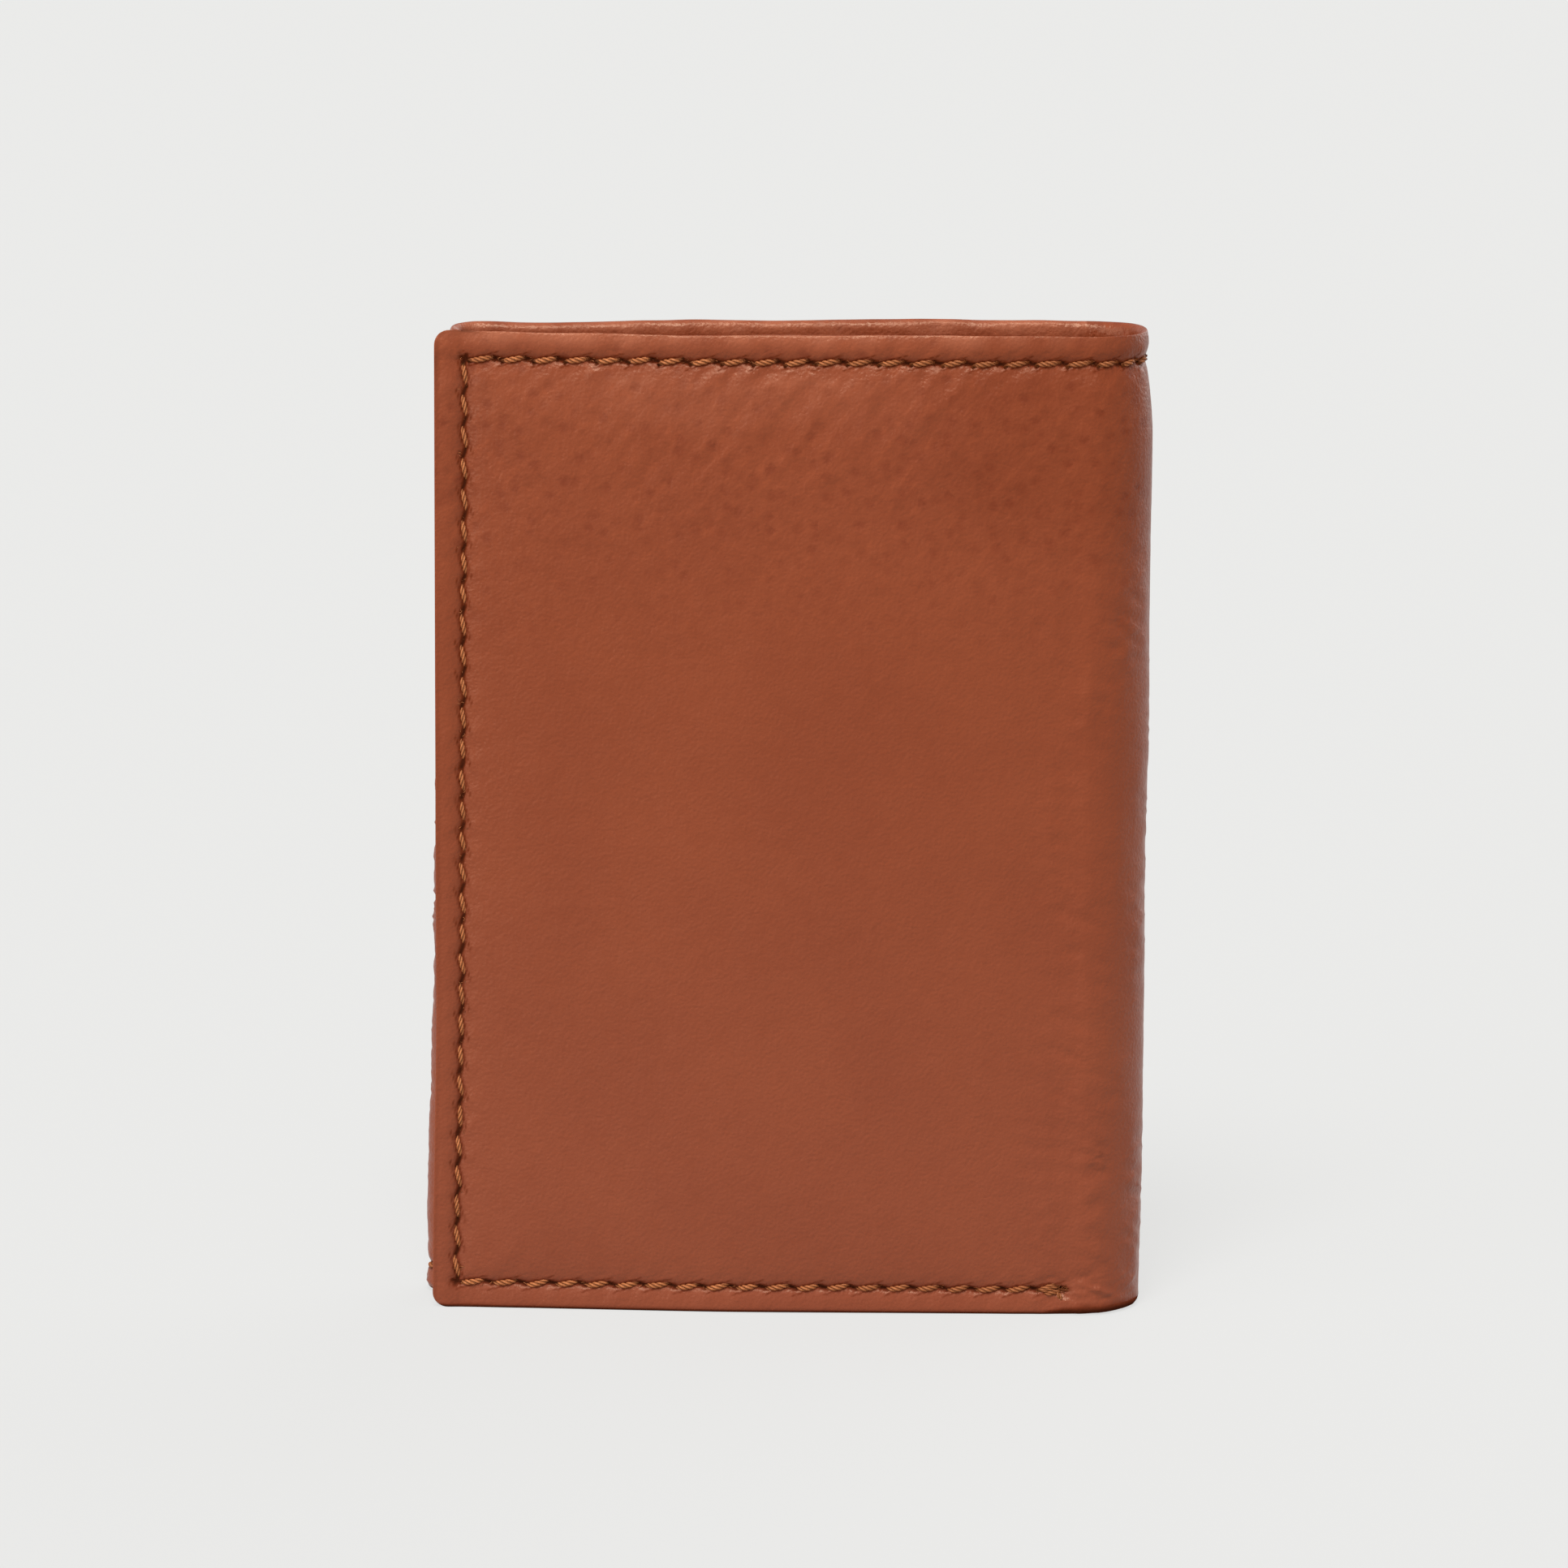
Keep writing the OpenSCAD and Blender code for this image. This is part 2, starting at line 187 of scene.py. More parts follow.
def plan(s):
    """Point and outward normal of the hide's outer face, seen from above, at distance s along the strip."""
    s = np.asarray(s, float)
    x, y = np.zeros_like(s), np.zeros_like(s)
    nx, ny = np.zeros_like(s), np.zeros_like(s)

    m = s <= S_FOLD
    x[m], y[m], ny[m] = EDGE_X + s[m], -OUTER_R, -1

    m = (s > S_FOLD) & (s <= S_BACK)
    a = (s[m] - S_FOLD) / OUTER_R - math.pi / 2
    nx[m], ny[m] = np.cos(a), np.sin(a)
    x[m], y[m] = OUTER_X + OUTER_R * nx[m], OUTER_R * ny[m]

    m = (s > S_BACK) & (s <= S_INNER_FOLD)
    x[m], y[m], ny[m] = OUTER_X - (s[m] - S_BACK), OUTER_R, 1

    m = (s > S_INNER_FOLD) & (s <= S_INNER_FLAP)
    a = (s[m] - S_INNER_FOLD) / INNER_R + math.pi / 2
    nx[m], ny[m] = np.cos(a), np.sin(a)
    x[m], y[m] = INNER_X + INNER_R * nx[m], INNER_Y + INNER_R * ny[m]

    m = s > S_INNER_FLAP
    x[m], y[m], ny[m] = INNER_X + s[m] - S_INNER_FLAP, INNER_Y - INNER_R, -1
    return x, y, nx, ny


def place_on(s, z):
    """plan() for a strip whose free edge isn't quite straight: it stands out a little, most at its foot."""
    sway = (0.27 + 0.55 * (1 - ease(0, 40 * MM, z))) * MM * (1 - ease(0, 12 * MM, s))
    return plan(s - sway)


def lie(s, z):
    """How far the closed wallet's strip stands out of its plain shape: the flap bows out in the middle
    and falls back at its free edge, and the back falls in towards the small fold and pushes the inner flap
    ahead of it."""
    tall = np.sin(np.pi * np.clip(z / HEIGHT, 0, 1))
    front = 1.2 * bump(s, 47 * MM, 25 * MM) * tall**0.7
    front = front - 1.5 * (1 - ease(0, 38 * MM, s)) * (1 - 0.25 * tall)
    front = front * (1 - ease(S_FOLD - 12 * MM, S_FOLD + 3 * MM, s))
    back = -1.0 * ease(S_BACK + 25 * MM, S_INNER_FOLD, s) + 0.35 * bump(s, S_BACK_CUT, 20 * MM) * tall
    small_fold = 2.1 * (0.56 - z / HEIGHT) + 0.45 * (1 - ease(0, 45 * MM, z)) - back
    back = back + small_fold * bump(s, S_INNER_CUT, 4.5 * MM)
    back = back * ease(S_BACK - 1 * MM, S_BACK + 8 * MM, s)
    on_flap = ease(S_INNER_FLAP - 3 * MM, S_INNER_FLAP + 4 * MM, s)
    pushed = 0.70 * on_flap * (1 - ease(S_INNER_FLAP + 8 * MM, S_INNER_FLAP + 40 * MM, s))
    return (front + back * (1 - on_flap) + pushed) * MM


# ---------------------------------------------------------------- seams

def stitch_line(start, end):
    """Middle of every stitch between two places, and the true pitch."""
    count = max(1, round((end - start) / STITCH_PITCH))
    pitch = (end - start) / count
    return start + (np.arange(count) + 0.5) * pitch, pitch


def drift(axis, along):
    """How far an upright seam strays from straight: to smaller s at its foot, to greater s at its top."""
    return EDGE_DRIFT * (2 * along / HEIGHT - 1) if axis == "z" else 0 * along


def wander(along):
    """A seam's small waver, which its dent and its stitches share."""
    return 0.10 * MM * WRINKLE_NOISE(along / (2.3 * MM), along * 0 + 7.5)


def seam_dent(along, across, start, end, lean):
    """Valley of a seam, a slanting pit between every two stitches, and the puckers beside it.
    lean is the sign of the stitches' slant. Returns how far the leather sinks, and how much painted shade
    lies in its pits and groove and as a painted shadow along each stitch."""
    pitch = stitch_line(start, end)[1]
    phase = (along - start) / pitch
    inside = between(along, start - PUCKER_REACH, start, end, end + PUCKER_REACH)
    to_hole = (phase - np.round(phase)) * pitch
    across = across + wander(along)
    slant = across + lean * 0.34 * to_hole
    pit = np.exp(-((to_hole / (0.66 * MM)) ** 4) - (slant / (0.20 * MM)) ** 2)
    cut = bump(across, 0, 0.42 * MM)
    valley = bump(across, 0, 1.3 * MM)
    pull = np.cos(2 * np.pi * (phase - 0.12 + 0.10 * WRINKLE_NOISE(along / (5 * MM), across * 0)))
    strength = 0.6 + 0.6 * WRINKLE_NOISE(along / (3.1 * MM), across * 0 + 31.5)
    beside = bump(np.abs(across), 1.25 * MM, 0.62 * MM)
    sink = 0.16 * cut + 0.25 * valley + 0.42 * pit - 0.075 * np.clip(strength, 0, 1.2) * pull * beside
    near = np.abs(across) < 7 * MM
    to_stitch = to_hole - np.sign(to_hole) * pitch / 2
    stitch_shadow = bump(np.abs(across - lean * 0.3 * to_stitch), 0.36 * MM, 0.10 * MM)
    # Painted shade in the stitch holes and the seam's groove, and a painted shadow along each stitch.
    dark = np.clip(1.7 * pit + 0.50 * stitch_shadow + 0.22 * cut, 0, 1)
    return np.where(near, sink * inside, 0) * MM, np.where(near, dark * inside, 0)


# Every seam of the hide: the axis it runs along, where it lies on the other axis, its start and its end
SEAMS = [
    ("s", TOP_SEAM, EDGE_SEAM + EDGE_DRIFT, TIP_SEAM + EDGE_DRIFT),
    ("s", BOTTOM_SEAM, EDGE_SEAM - EDGE_DRIFT, BACKTACK_S),
    ("s", BOTTOM_SEAM, S_BACK + 2 * MM, TIP_SEAM - EDGE_DRIFT),
    ("z", EDGE_SEAM, BOTTOM_SEAM, TOP_SEAM),
    ("z", TIP_SEAM, BOTTOM_SEAM, TOP_SEAM),
]


def seams_of_hide(s, z):
    """Every seam of the outer leather, as one sink and one amount of painted shade."""
    lines = []
    for axis, place, start, end in SEAMS:
        along, across = (s, z - place) if axis == "s" else (z, s - place)
        lines.append(seam_dent(along, across - drift(axis, along), start, end, LEANS[axis]))
    sink = np.max([line[0] for line in lines], axis=0) + np.min([line[0] for line in lines], axis=0)
    dark = np.max([line[1] for line in lines], axis=0)
    return sink, dark


# ---------------------------------------------------------------- leather relief

def pillow(s, z):
    """How far the hide fills out between its seams: 0 on a tight seam, 1 well away from all of them. It
    stays filled out at the bottom where the large fold has no seam, and partly so along the bottom seam."""
    unsewn = between(s, BACKTACK_S, BACKTACK_S + 5 * MM, S_BACK - 3 * MM, S_BACK + 2 * MM)
    unsewn = np.maximum(unsewn, 0.75 * bump(s, S_INNER_CUT, 8 * MM))
    full = 1
    for inward, loose in ((TOP_SEAM - z, 0), (z - BOTTOM_SEAM, np.maximum(unsewn, 0.35)),
                          (s - EDGE_SEAM, 0), (TIP_SEAM - s, 0)):
        swell = np.where(inward > 0, 1 - np.exp(-((np.abs(inward) / (4.8 * MM)) ** 1.6)),
                         0.42 * (1 - np.exp(-np.abs(inward) / (1.0 * MM))))
        full = np.minimum(full, swell + (1 - swell) * loose)
    return full


def hide_relief(s, z):
    """Relief of the outer face: the fill between seams, slow waves, wrinkles under the top seam, one veined
    spot, and creases in both folds."""
    u, v = s / MM, z / MM
    waves = 0.09 * layered(HIDE_NOISE, u / 17, v / 17, 3) + 0.012 * layered(HIDE_NOISE, u / 1.7, v / 1.7, 2)
    fill = 0.80 * (pillow(s, z) - 1) - 0.24 * bump(z, HEIGHT, 1.1 * MM) - 0.15 * bump(s, 0, 0.9 * MM)

    below = (TOP_SEAM - z) / MM
    band = between(below, 0.5, 2.2, 5, 20)
    band = band * (1 - 0.7 * ease(56, 72, u)) * (0.3 + 0.7 * ease(3, 12, u))
    band = band * np.clip(0.75 + 0.6 * HIDE_NOISE(u / 7 + 5, below / 9), 0.1, 1.3)
    across, length = u * 0.77 - v * 0.64, u * 0.64 + v * 0.77
    ridge = 1 - np.abs(WRINKLE_NOISE(across / 1.9, length / 6.0)) * 2
    fine = 1 - np.abs(WRINKLE_NOISE(across / 0.95 + 40, length / 3.4)) * 2
    wrinkles = band * (0.120 * ridge + 0.050 * fine)

    close = between(below, 0.5, 1.2, 2.0, 4.5)
    knots = WRINKLE_NOISE(across / 0.8 + 90, length / 1.9)
    wrinkles = wrinkles + 0.110 * close * knots * np.clip(0.6 + HIDE_NOISE(u / 4, u * 0 + 2), 0.2, 1.3)

    veins = 1 - np.abs(WRINKLE_NOISE(u / 1.5 + 11, v / 1.5)) * 3
    scar = bump(s, 47 * MM, 6 * MM) * bump(z, 75 * MM, 5 * MM)
    veins = 0.05 * scar * np.clip(veins, 0, 1)

    creases = 0
    for middle, reach, low, high in ((S_FOLD + 3 * MM, 8 * MM, 78, 92), (S_INNER_CUT, 6 * MM, 200, 220)):
        zone = bump(s, middle, reach) * (0.25 + 0.75 * (1 - ease(low, high, v)))
        patchy = np.clip(0.55 + 0.8 * HIDE_NOISE(u / 3 + 60, v / 9), 0, 1.2)
        line = 1 - np.abs(FOLD_NOISE(u / 4.2 + 3, (v + 0.38 * u) / 1.35)) * 2
        fine_line = 1 - np.abs(FOLD_NOISE(u / 2.2 + 60, (v - 0.22 * u) / 0.62)) * 2
        cross = FOLD_NOISE(u / 1.6 + 80, v / 2.6)
        creases = creases + zone * patchy * (0.23 * line + 0.10 * fine_line + 0.07 * cross)
    return (waves + fill + wrinkles + veins + creases) * MM


def gathers(s, z):
    """Folds of the turned-over leather on the inner face of the top edge, tight where the hide bends."""
    u = s / MM
    below = (HEIGHT - z) / MM
    tight = bump(s, (S_FOLD + S_BACK) / 2 + 10 * MM, 11 * MM) + 0.5 * bump(s, S_INNER_CUT, 6 * MM)
    depth = between(below, 0.1, 0.8, 4, 8)
    pleats = np.sin(2 * np.pi * (u / 0.78 + 0.7 * GATHER_NOISE(u / 1.7, below / 5))) * np.clip(tight, 0, 1)
    slow = GATHER_NOISE(u / 2.6 + 0.35 * below, below / 4 + 4)
    slow = slow + 0.5 * GATHER_NOISE(u / 1.1 + 0.4 * below, below / 2)
    groove = -1.2 * bump(below - 1.9 - 0.25 * GATHER_NOISE(u / 6, u * 0), 0, 0.45)
    hem = 0.45 * bump(below, 2.3, 1.5)
    uneven = np.clip(0.5 + GATHER_NOISE(u / 4.5, u * 0), 0, 1)
    crinkle = GATHER_NOISE(u / 0.55 + 0.5 * below, below / 1.3 + 9) * uneven
    return (depth * (0.085 * pleats + 0.12 * slow + 0.07 * crinkle + 0.12 * groove) + hem) * MM


# ---------------------------------------------------------------- meshes

def spaced(start, end, coarse, fine_at=(), fine=None, reach=1.6 * MM):
    """Places from start to end, coarse apart, and fine apart near each place in fine_at."""
    places = [start]
    while places[-1] < end:
        near = any(abs(places[-1] - f) < reach for f in fine_at)
        places.append(places[-1] + (fine if near else coarse))
    places = np.array(places)
    return start + (places - start) * (end - start) / (places[-1] - start)


def new_object(name, vertices, faces, smooth=True):
    mesh = bpy.data.meshes.new(name)
    mesh.from_pydata(np.asarray(vertices, float).tolist(), [], faces)
    mesh.validate()
    if smooth:
        mesh.shade_smooth()
    piece = bpy.data.objects.new(name, mesh)
    bpy.context.scene.collection.objects.link(piece)
    return piece


def store(piece, name, values, kind="FLOAT"):
    attribute = piece.data.attributes.new(name, kind, "POINT")
    field = "vector" if kind == "FLOAT_VECTOR" else "value"
    attribute.data.foreach_set(field, np.asarray(values, np.float32).ravel())


def sheet(name, cols, rows, thickness, top=None, rim=0.7 * MM, round_start=0, round_end=0, corner=0,
          outside=None, inside=None, shift=None, darkness=None, rim_steps=7):
    """A closed sheet in strip coordinates: its outer face, its inner face and round rims.
    cols are places along the strip and rows are heights; round_start and round_end round its free ends.
    top gives the depth of its outer face, which is 0 for the hide."""
    z_low, z_high = rows[0], rows[-1]
    face_rows = rows[(rows > z_low + rim * 1.02) & (rows < z_high - rim * 1.02)]
    turn = np.linspace(0, np.pi, rim_steps)
    loop_z = np.concatenate([face_rows, z_high - rim + rim * np.sin(turn),
                             face_rows[::-1], z_low + rim - rim * np.sin(turn)])
    loop_f = np.concatenate([np.zeros(len(face_rows)), (1 - np.cos(turn)) / 2,
                             np.ones(len(face_rows)), (1 + np.cos(turn)) / 2])
    s, z = np.meshgrid(cols, loop_z, indexing="ij")
    f = np.broadcast_to(loop_f, s.shape)

    swell = np.ones(len(cols))
    cut = np.zeros(len(cols))
    for size, away in ((round_start, cols - cols[0]), (round_end, cols[-1] - cols)):
        if size:
            t = np.clip(1 - away / size, 0, 1)
            swell = np.minimum(swell, np.sqrt(np.clip(1 - t * t, 0.02, 1)))
            t = np.clip(1 - away / corner, 0, 1) if corner else t * 0
            cut = np.maximum(cut, corner * (1 - np.sqrt(np.clip(1 - t * t, 0, 1))))
    middle = (z_low + z_high) / 2
    z = middle + (z - middle) * (1 - cut / (z_high - middle))[:, None]
    if shift is not None:
        bottom_shift, top_shift = shift(s)
        z = z + top_shift * ease(middle, z_high, z) + bottom_shift * ease(middle, z_low, z)

    f = 0.5 + (f - 0.5) * swell[:, None]
    x, y, nx, ny = place_on(s, z)
    depth = f * thickness + (top(s, z) if top else 0)
    out = lie(s, z) - depth
    if outside is not None:
        out = out + outside(s, z) * np.clip(1 - 1.6 * f, 0, 1) * swell[:, None]
    if inside is not None:
        out = out - inside(s, z) * np.clip(2.2 * f - 1.2, 0, 1)
    co = np.stack([x + nx * out, y + ny * out, z], -1).reshape(-1, 3)

    n_col, n_loop = s.shape
    index = np.arange(n_col * n_loop).reshape(n_col, n_loop)
    here, up = index, np.roll(index, -1, axis=1)
    faces = np.stack([here[:-1], here[1:], up[1:], up[:-1]], -1).reshape(-1, 4).tolist()
    faces.append(index[0].tolist())
    faces.append(index[-1][::-1].tolist())
    piece = new_object(name, co, faces)
    store(piece, "strip", np.stack([s, z, depth], -1), "FLOAT_VECTOR")
    # Painted shade and painted highlight, which the leather's colour reads from the mesh.
    store(piece, "seam_dark", np.zeros(s.shape) if darkness is None else darkness(s, z, f))
    store(piece, "stretch", np.zeros(s.shape) if darkness is None else hide_highlight(s, z))
    sharp = piece.data.attributes.new("sharp_edge", "BOOLEAN", "EDGE")
    ends = {*index[0].tolist(), *index[-1].tolist()}
    flags = [e.vertices[0] in ends and e.vertices[1] in ends for e in piece.data.edges]
    sharp.data.foreach_set("value", flags)
    return piece


# ---------------------------------------------------------------- pieces of the strip and the CAD nodes they stand for


def bend(piece):
    """Bakes a piece's placement into its mesh."""
    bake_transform(piece)


SPANS = {
    "flap": (0, S_FRONT_CUT),
    "fold": (S_FRONT_CUT, S_REAR_CUT),
    "back_right": (S_REAR_CUT, S_BACK_CUT),
    "back_left": (S_BACK_CUT, S_INNER_CUT),
    "inner": (S_INNER_CUT, S_TIP),
}
NODE_ENDINGS = {
    "flap": ["outer_flap"],
    "fold": ["spine_front"],
    "back_right": ["spine_rear"],
    "back_left": ["centre", "inner_spine"],
    "inner": ["inner_flap"],
}


def nodes_of(kind, place):
    """The CAD nodes of one kind that a piece of one span stands for."""
    return [f"{kind}_{ending}" for ending in NODE_ENDINGS[place]]


# ---------------------------------------------------------------- materials

def build_material(name):
    """An empty node material, a short way to add a node to it, and one to feed the shader's own sockets."""
    material = bpy.data.materials.new(name)
    material.use_nodes = True
    nodes, links = material.node_tree.nodes, material.node_tree.links

    def feed(node, key, value):
        if isinstance(value, bpy.types.NodeSocket):
            links.new(value, node.inputs[key])
        else:
            node.inputs[key].default_value = value

    def add(kind, inputs=None, **settings):
        node = nodes.new(kind)
        for key, value in settings.items():
            setattr(node, key, value)
        for key, value in (inputs or {}).items():
            feed(node, key, value)
        return node

    def put(key, value):
        feed(nodes["Principled BSDF"], key, value)

    return material, add, put


def maths(add, operation, a, b=0.0, c=0.0, clamp=False):
    return add("ShaderNodeMath", {0: a, 1: b, 2: c}, operation=operation, use_clamp=clamp).outputs[0]


def times(add, a, b):
    return maths(add, "MULTIPLY", a, b)


def mix_colour(add, factor, a, b, blend="MIX"):
    a, b = (value if isinstance(value, bpy.types.NodeSocket) else (*value, 1) for value in (a, b))
    return add("ShaderNodeMix", {"Factor": factor, 6: a, 7: b}, data_type="RGBA", blend_type=blend).outputs[2]


def remap(add, value, low, high, to_low=0.0, to_high=1.0):
    node = add("ShaderNodeMapRange", {"Value": value, "From Min": low, "From Max": high,
                                      "To Min": to_low, "To Max": to_high}, interpolation_type="SMOOTHSTEP")
    return node.outputs[0]


def strip_coordinates(add):
    """The strip's own coordinates in millimetres, so that a pattern stays on the leather as it bends."""
    strip = add("ShaderNodeAttribute", attribute_name="strip").outputs["Vector"]
    return add("ShaderNodeVectorMath", {0: strip, "Scale": 1000.0}, operation="SCALE").outputs[0]


def stored(add, name):
    """A value that was stored on the mesh."""
    return add("ShaderNodeAttribute", attribute_name=name).outputs["Fac"]


def cloud(add, at, scale, detail, roughness=0.5, output="Fac"):
    inputs = {"Vector": at, "Scale": scale, "Detail": detail, "Roughness": roughness}
    return add("ShaderNodeTexNoise", inputs).outputs[output]


def emboss(add, put, height, strength, distance):
    """Tilts the shading by a height pattern."""
    relief = add("ShaderNodeBump", {"Height": height, "Strength": strength, "Distance": distance})
    put("Normal", relief.outputs["Normal"])


def leather_material(name, colour, reflected_low_colour, dark, light, roughness, pores, grain):
    """Smooth grain leather: slow mottling, slanting streaks of painted highlight and dark soft pores,
    strongest high up, a fine grain, and a rosier painted reflection of the floor low down."""
    material, add, put = build_material(name)
    at = strip_coordinates(add)
    high = add("ShaderNodeSeparateXYZ", {0: at}).outputs["Y"]
    mottle = cloud(add, at, 0.055, 5.0)
    patch = cloud(add, at, 0.42, 3.0, 0.6)
    fine = cloud(add, at, 2.6, 3.0, 0.6)
    cells = add("ShaderNodeTexVoronoi", {"Vector": at, "Scale": 2.7, "Randomness": 1.0}, feature="SMOOTH_F1")
    warped = mix_colour(add, 1.0, at, cloud(add, at, 0.9, 3.0, 0.6, "Color"), "ADD")
    pore = add("ShaderNodeTexVoronoi", {"Vector": warped, "Scale": 0.60, "Randomness": 1.0})
    chosen = add("ShaderNodeSeparateColor", {0: pore.outputs["Color"]}).outputs[0]
    spot = times(add, remap(add, pore.outputs["Distance"], 0.62, 0.06), remap(add, chosen, 0.0, 0.7))
    cluster = remap(add, patch, 0.34, 0.58, 0.35, 1.0)
    spot = times(add, times(add, spot, remap(add, high, 72.0, 98.0, 0.16, 1.0)), cluster)

    mottled = mix_colour(add, remap(add, mottle, 0.32, 0.68), dark, light)
    # Painted reflection of the floor: the hide turns rosier low down.
    floor_reflection = mix_colour(add, remap(add, high, 85.0, 5.0), colour, reflected_low_colour)
    tone = mix_colour(add, 0.72, mottled, floor_reflection)
    tone = mix_colour(add, remap(add, fine, 0.3, 0.7, 0.0, 0.16), tone, dark)
    # Slanting streaks of painted highlight on the wrinkles, strongest high up.
    slanted = add("ShaderNodeMapping", {"Vector": at, "Rotation": (0.0, 0.0, math.radians(50)),
                                        "Scale": (2.6, 1.15, 1.0)}, vector_type="TEXTURE")
    streak = cloud(add, slanted.outputs[0], 1.0, 3.0, 0.6)
    high_up = remap(add, high, 70.0, 100.0, 0.25, 1.0)
    pale = [min(1, c * 1.3) for c in light]
    tone = mix_colour(add, times(add, high_up, remap(add, streak, 0.45, 0.8, 0.0, 0.36)), tone, pale)
    dim = [c * 0.8 for c in dark]
    tone = mix_colour(add, times(add, high_up, remap(add, patch, 0.5, 0.25, 0.0, 0.42)), tone, dim)
    deep = [c * share for c, share in zip(dark, (0.72, 0.42, 0.18))]
    tone = mix_colour(add, times(add, spot, pores), tone, deep)
    # Painted highlight from the mesh: a band and streaks under the top seam, and the top rim.
    tone = mix_colour(add, stored(add, "stretch"), tone, (0.40, 0.130, 0.068))
    # Painted shade: in the seams' holes and groove, a painted contact shadow along the bottom edge, and shade
    # low down and towards the large fold.
    seam = stored(add, "seam_dark")
    put("Base Color", mix_colour(add, times(add, seam, 0.93), tone, (0.030, 0.007, 0.003)))

    rough = remap(add, patch, 0.3, 0.7, roughness - 0.05, roughness + 0.06)
    put("Roughness", maths(add, "ADD", rough, times(add, spot, 0.08)))

    veins = add("ShaderNodeTexVoronoi", {"Vector": warped, "Scale": 0.33}, feature="DISTANCE_TO_EDGE")
    vein = times(add, remap(add, veins.outputs["Distance"], 0.05, 0.0), cluster)
    height = 0.0
    for pattern, share in ((cells.outputs["Distance"], 0.55 * grain), (fine, 0.5 * grain), (spot, -0.45),
                           (patch, 0.5), (vein, -0.10)):
        height = maths(add, "MULTIPLY_ADD", pattern, share, height)
    emboss(add, put, height, strength=0.35, distance=0.00025)
    put("Specular IOR Level", maths(add, "MULTIPLY_ADD", seam, -0.95, 0.42, clamp=True))
    put("Specular Tint", (1.0, 0.74, 0.52, 1))
    return material


def thread_material():
    """Waxed twisted thread, uneven, duller away from the flap's free edge, with painted shade between its
    plies and at its ends and a painted highlight on their crests.
    """
    material, add, put = build_material("thread")
    at = strip_coordinates(add)
    fuzz = cloud(add, at, 7.0, 3.0)
    uneven = cloud(add, at, 0.5, 2.0)
    # The ply value is painted shade between the plies and at the ends, and painted highlight on the crests.
    shade = times(add, stored(add, "ply"), remap(add, fuzz, 0.3, 0.7, 0.75, 1.0))
    colour = mix_colour(add, shade, (0.036, 0.008, 0.003), (0.46, 0.150, 0.050))
    colour = mix_colour(add, remap(add, uneven, 0.4, 0.7, 0.0, 0.3), colour, (0.16, 0.042, 0.012))
    along = add("ShaderNodeSeparateXYZ", {0: at}).outputs["X"]
    colour = mix_colour(add, remap(add, along, 25.0, 65.0, 0.0, 0.5), colour, (0.14, 0.036, 0.010))
    put("Base Color", colour)
    emboss(add, put, fuzz, strength=0.4, distance=0.00008)
    put("Specular IOR Level", times(add, shade, 0.5))
    put("Specular Tint", (1.0, 0.72, 0.50, 1))
    put("Roughness", 0.46)
    return material


def lining_material():
    """Fine woven lining cloth."""
    material, add, put = build_material("lining_cloth")
    at = strip_coordinates(add)
    axes = add("ShaderNodeSeparateXYZ", {0: at}).outputs
    warp, weft = (maths(add, "SINE", times(add, axes[name], 2 * math.pi / 0.34)) for name in "XY")
    weave = times(add, warp, weft)
    slub = cloud(add, at, 1.3, 3.0)
    tone = remap(add, maths(add, "ADD", weave, slub), -0.6, 1.6)
    put("Base Color", mix_colour(add, tone, (0.055, 0.020, 0.010), (0.125, 0.048, 0.024)))
    emboss(add, put, weave, strength=0.5, distance=0.00006)
    put("Roughness", 0.75)
    put("Sheen Weight", 0.25)
    return material


def film_material():
    """Clear soft vinyl with faint scuffs."""
    material, add, put = build_material("window_vinyl")
    scuff = cloud(add, strip_coordinates(add), 0.22, 5.0, 0.7)
    put("Roughness", remap(add, scuff, 0.35, 0.7, 0.05, 0.22))
    put("Base Color", mix_colour(add, scuff, (0.40, 0.42, 0.42), (0.60, 0.62, 0.62)))
    emboss(add, put, scuff, strength=0.25, distance=0.0006)
    put("Alpha", 0.12)
    put("IOR", 1.5)
    return material


def board_material():
    """Grey-brown fibre board."""
    material, add, put = build_material("fibre_board")
    fibre = cloud(add, strip_coordinates(add), 1.8, 4.0)
    put("Base Color", mix_colour(add, fibre, (0.33, 0.27, 0.20), (0.55, 0.48, 0.38)))
    put("Roughness", 0.85)
    return material


# The low colours are a painted reflection of the floor on the lower hide.
HIDE = leather_material("cognac_hide", colour=(0.186, 0.0340, 0.0110), reflected_low_colour=(0.192, 0.0420, 0.0195),
                        dark=(0.160, 0.0275, 0.0088), light=(0.212, 0.0430, 0.0142),
                        roughness=0.37, pores=0.55, grain=1.2)
INNER_HIDE = leather_material("cognac_inner_hide", colour=(0.180, 0.0370, 0.0130),
                              reflected_low_colour=(0.180, 0.0385, 0.0145), dark=(0.150, 0.0290, 0.0100),
                              light=(0.205, 0.0450, 0.0165), roughness=0.52, pores=0.25, grain=1.5)
THREAD = thread_material()
LINING = lining_material()
VINYL = film_material()
BOARD = board_material()


def dress(piece, material, slot, *nodes):
    """Gives a piece its material and hides the CAD nodes it stands for."""
    piece.data.materials.append(material)
    if nodes:
        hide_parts(*nodes)
    return piece


# ---------------------------------------------------------------- outer leather

def hide_outside(s, z):
    """Relief and seams together, never deeper than the leather is thick."""
    return np.maximum(hide_relief(s, z) - seams_of_hide(s, z)[0], -DEEPEST)


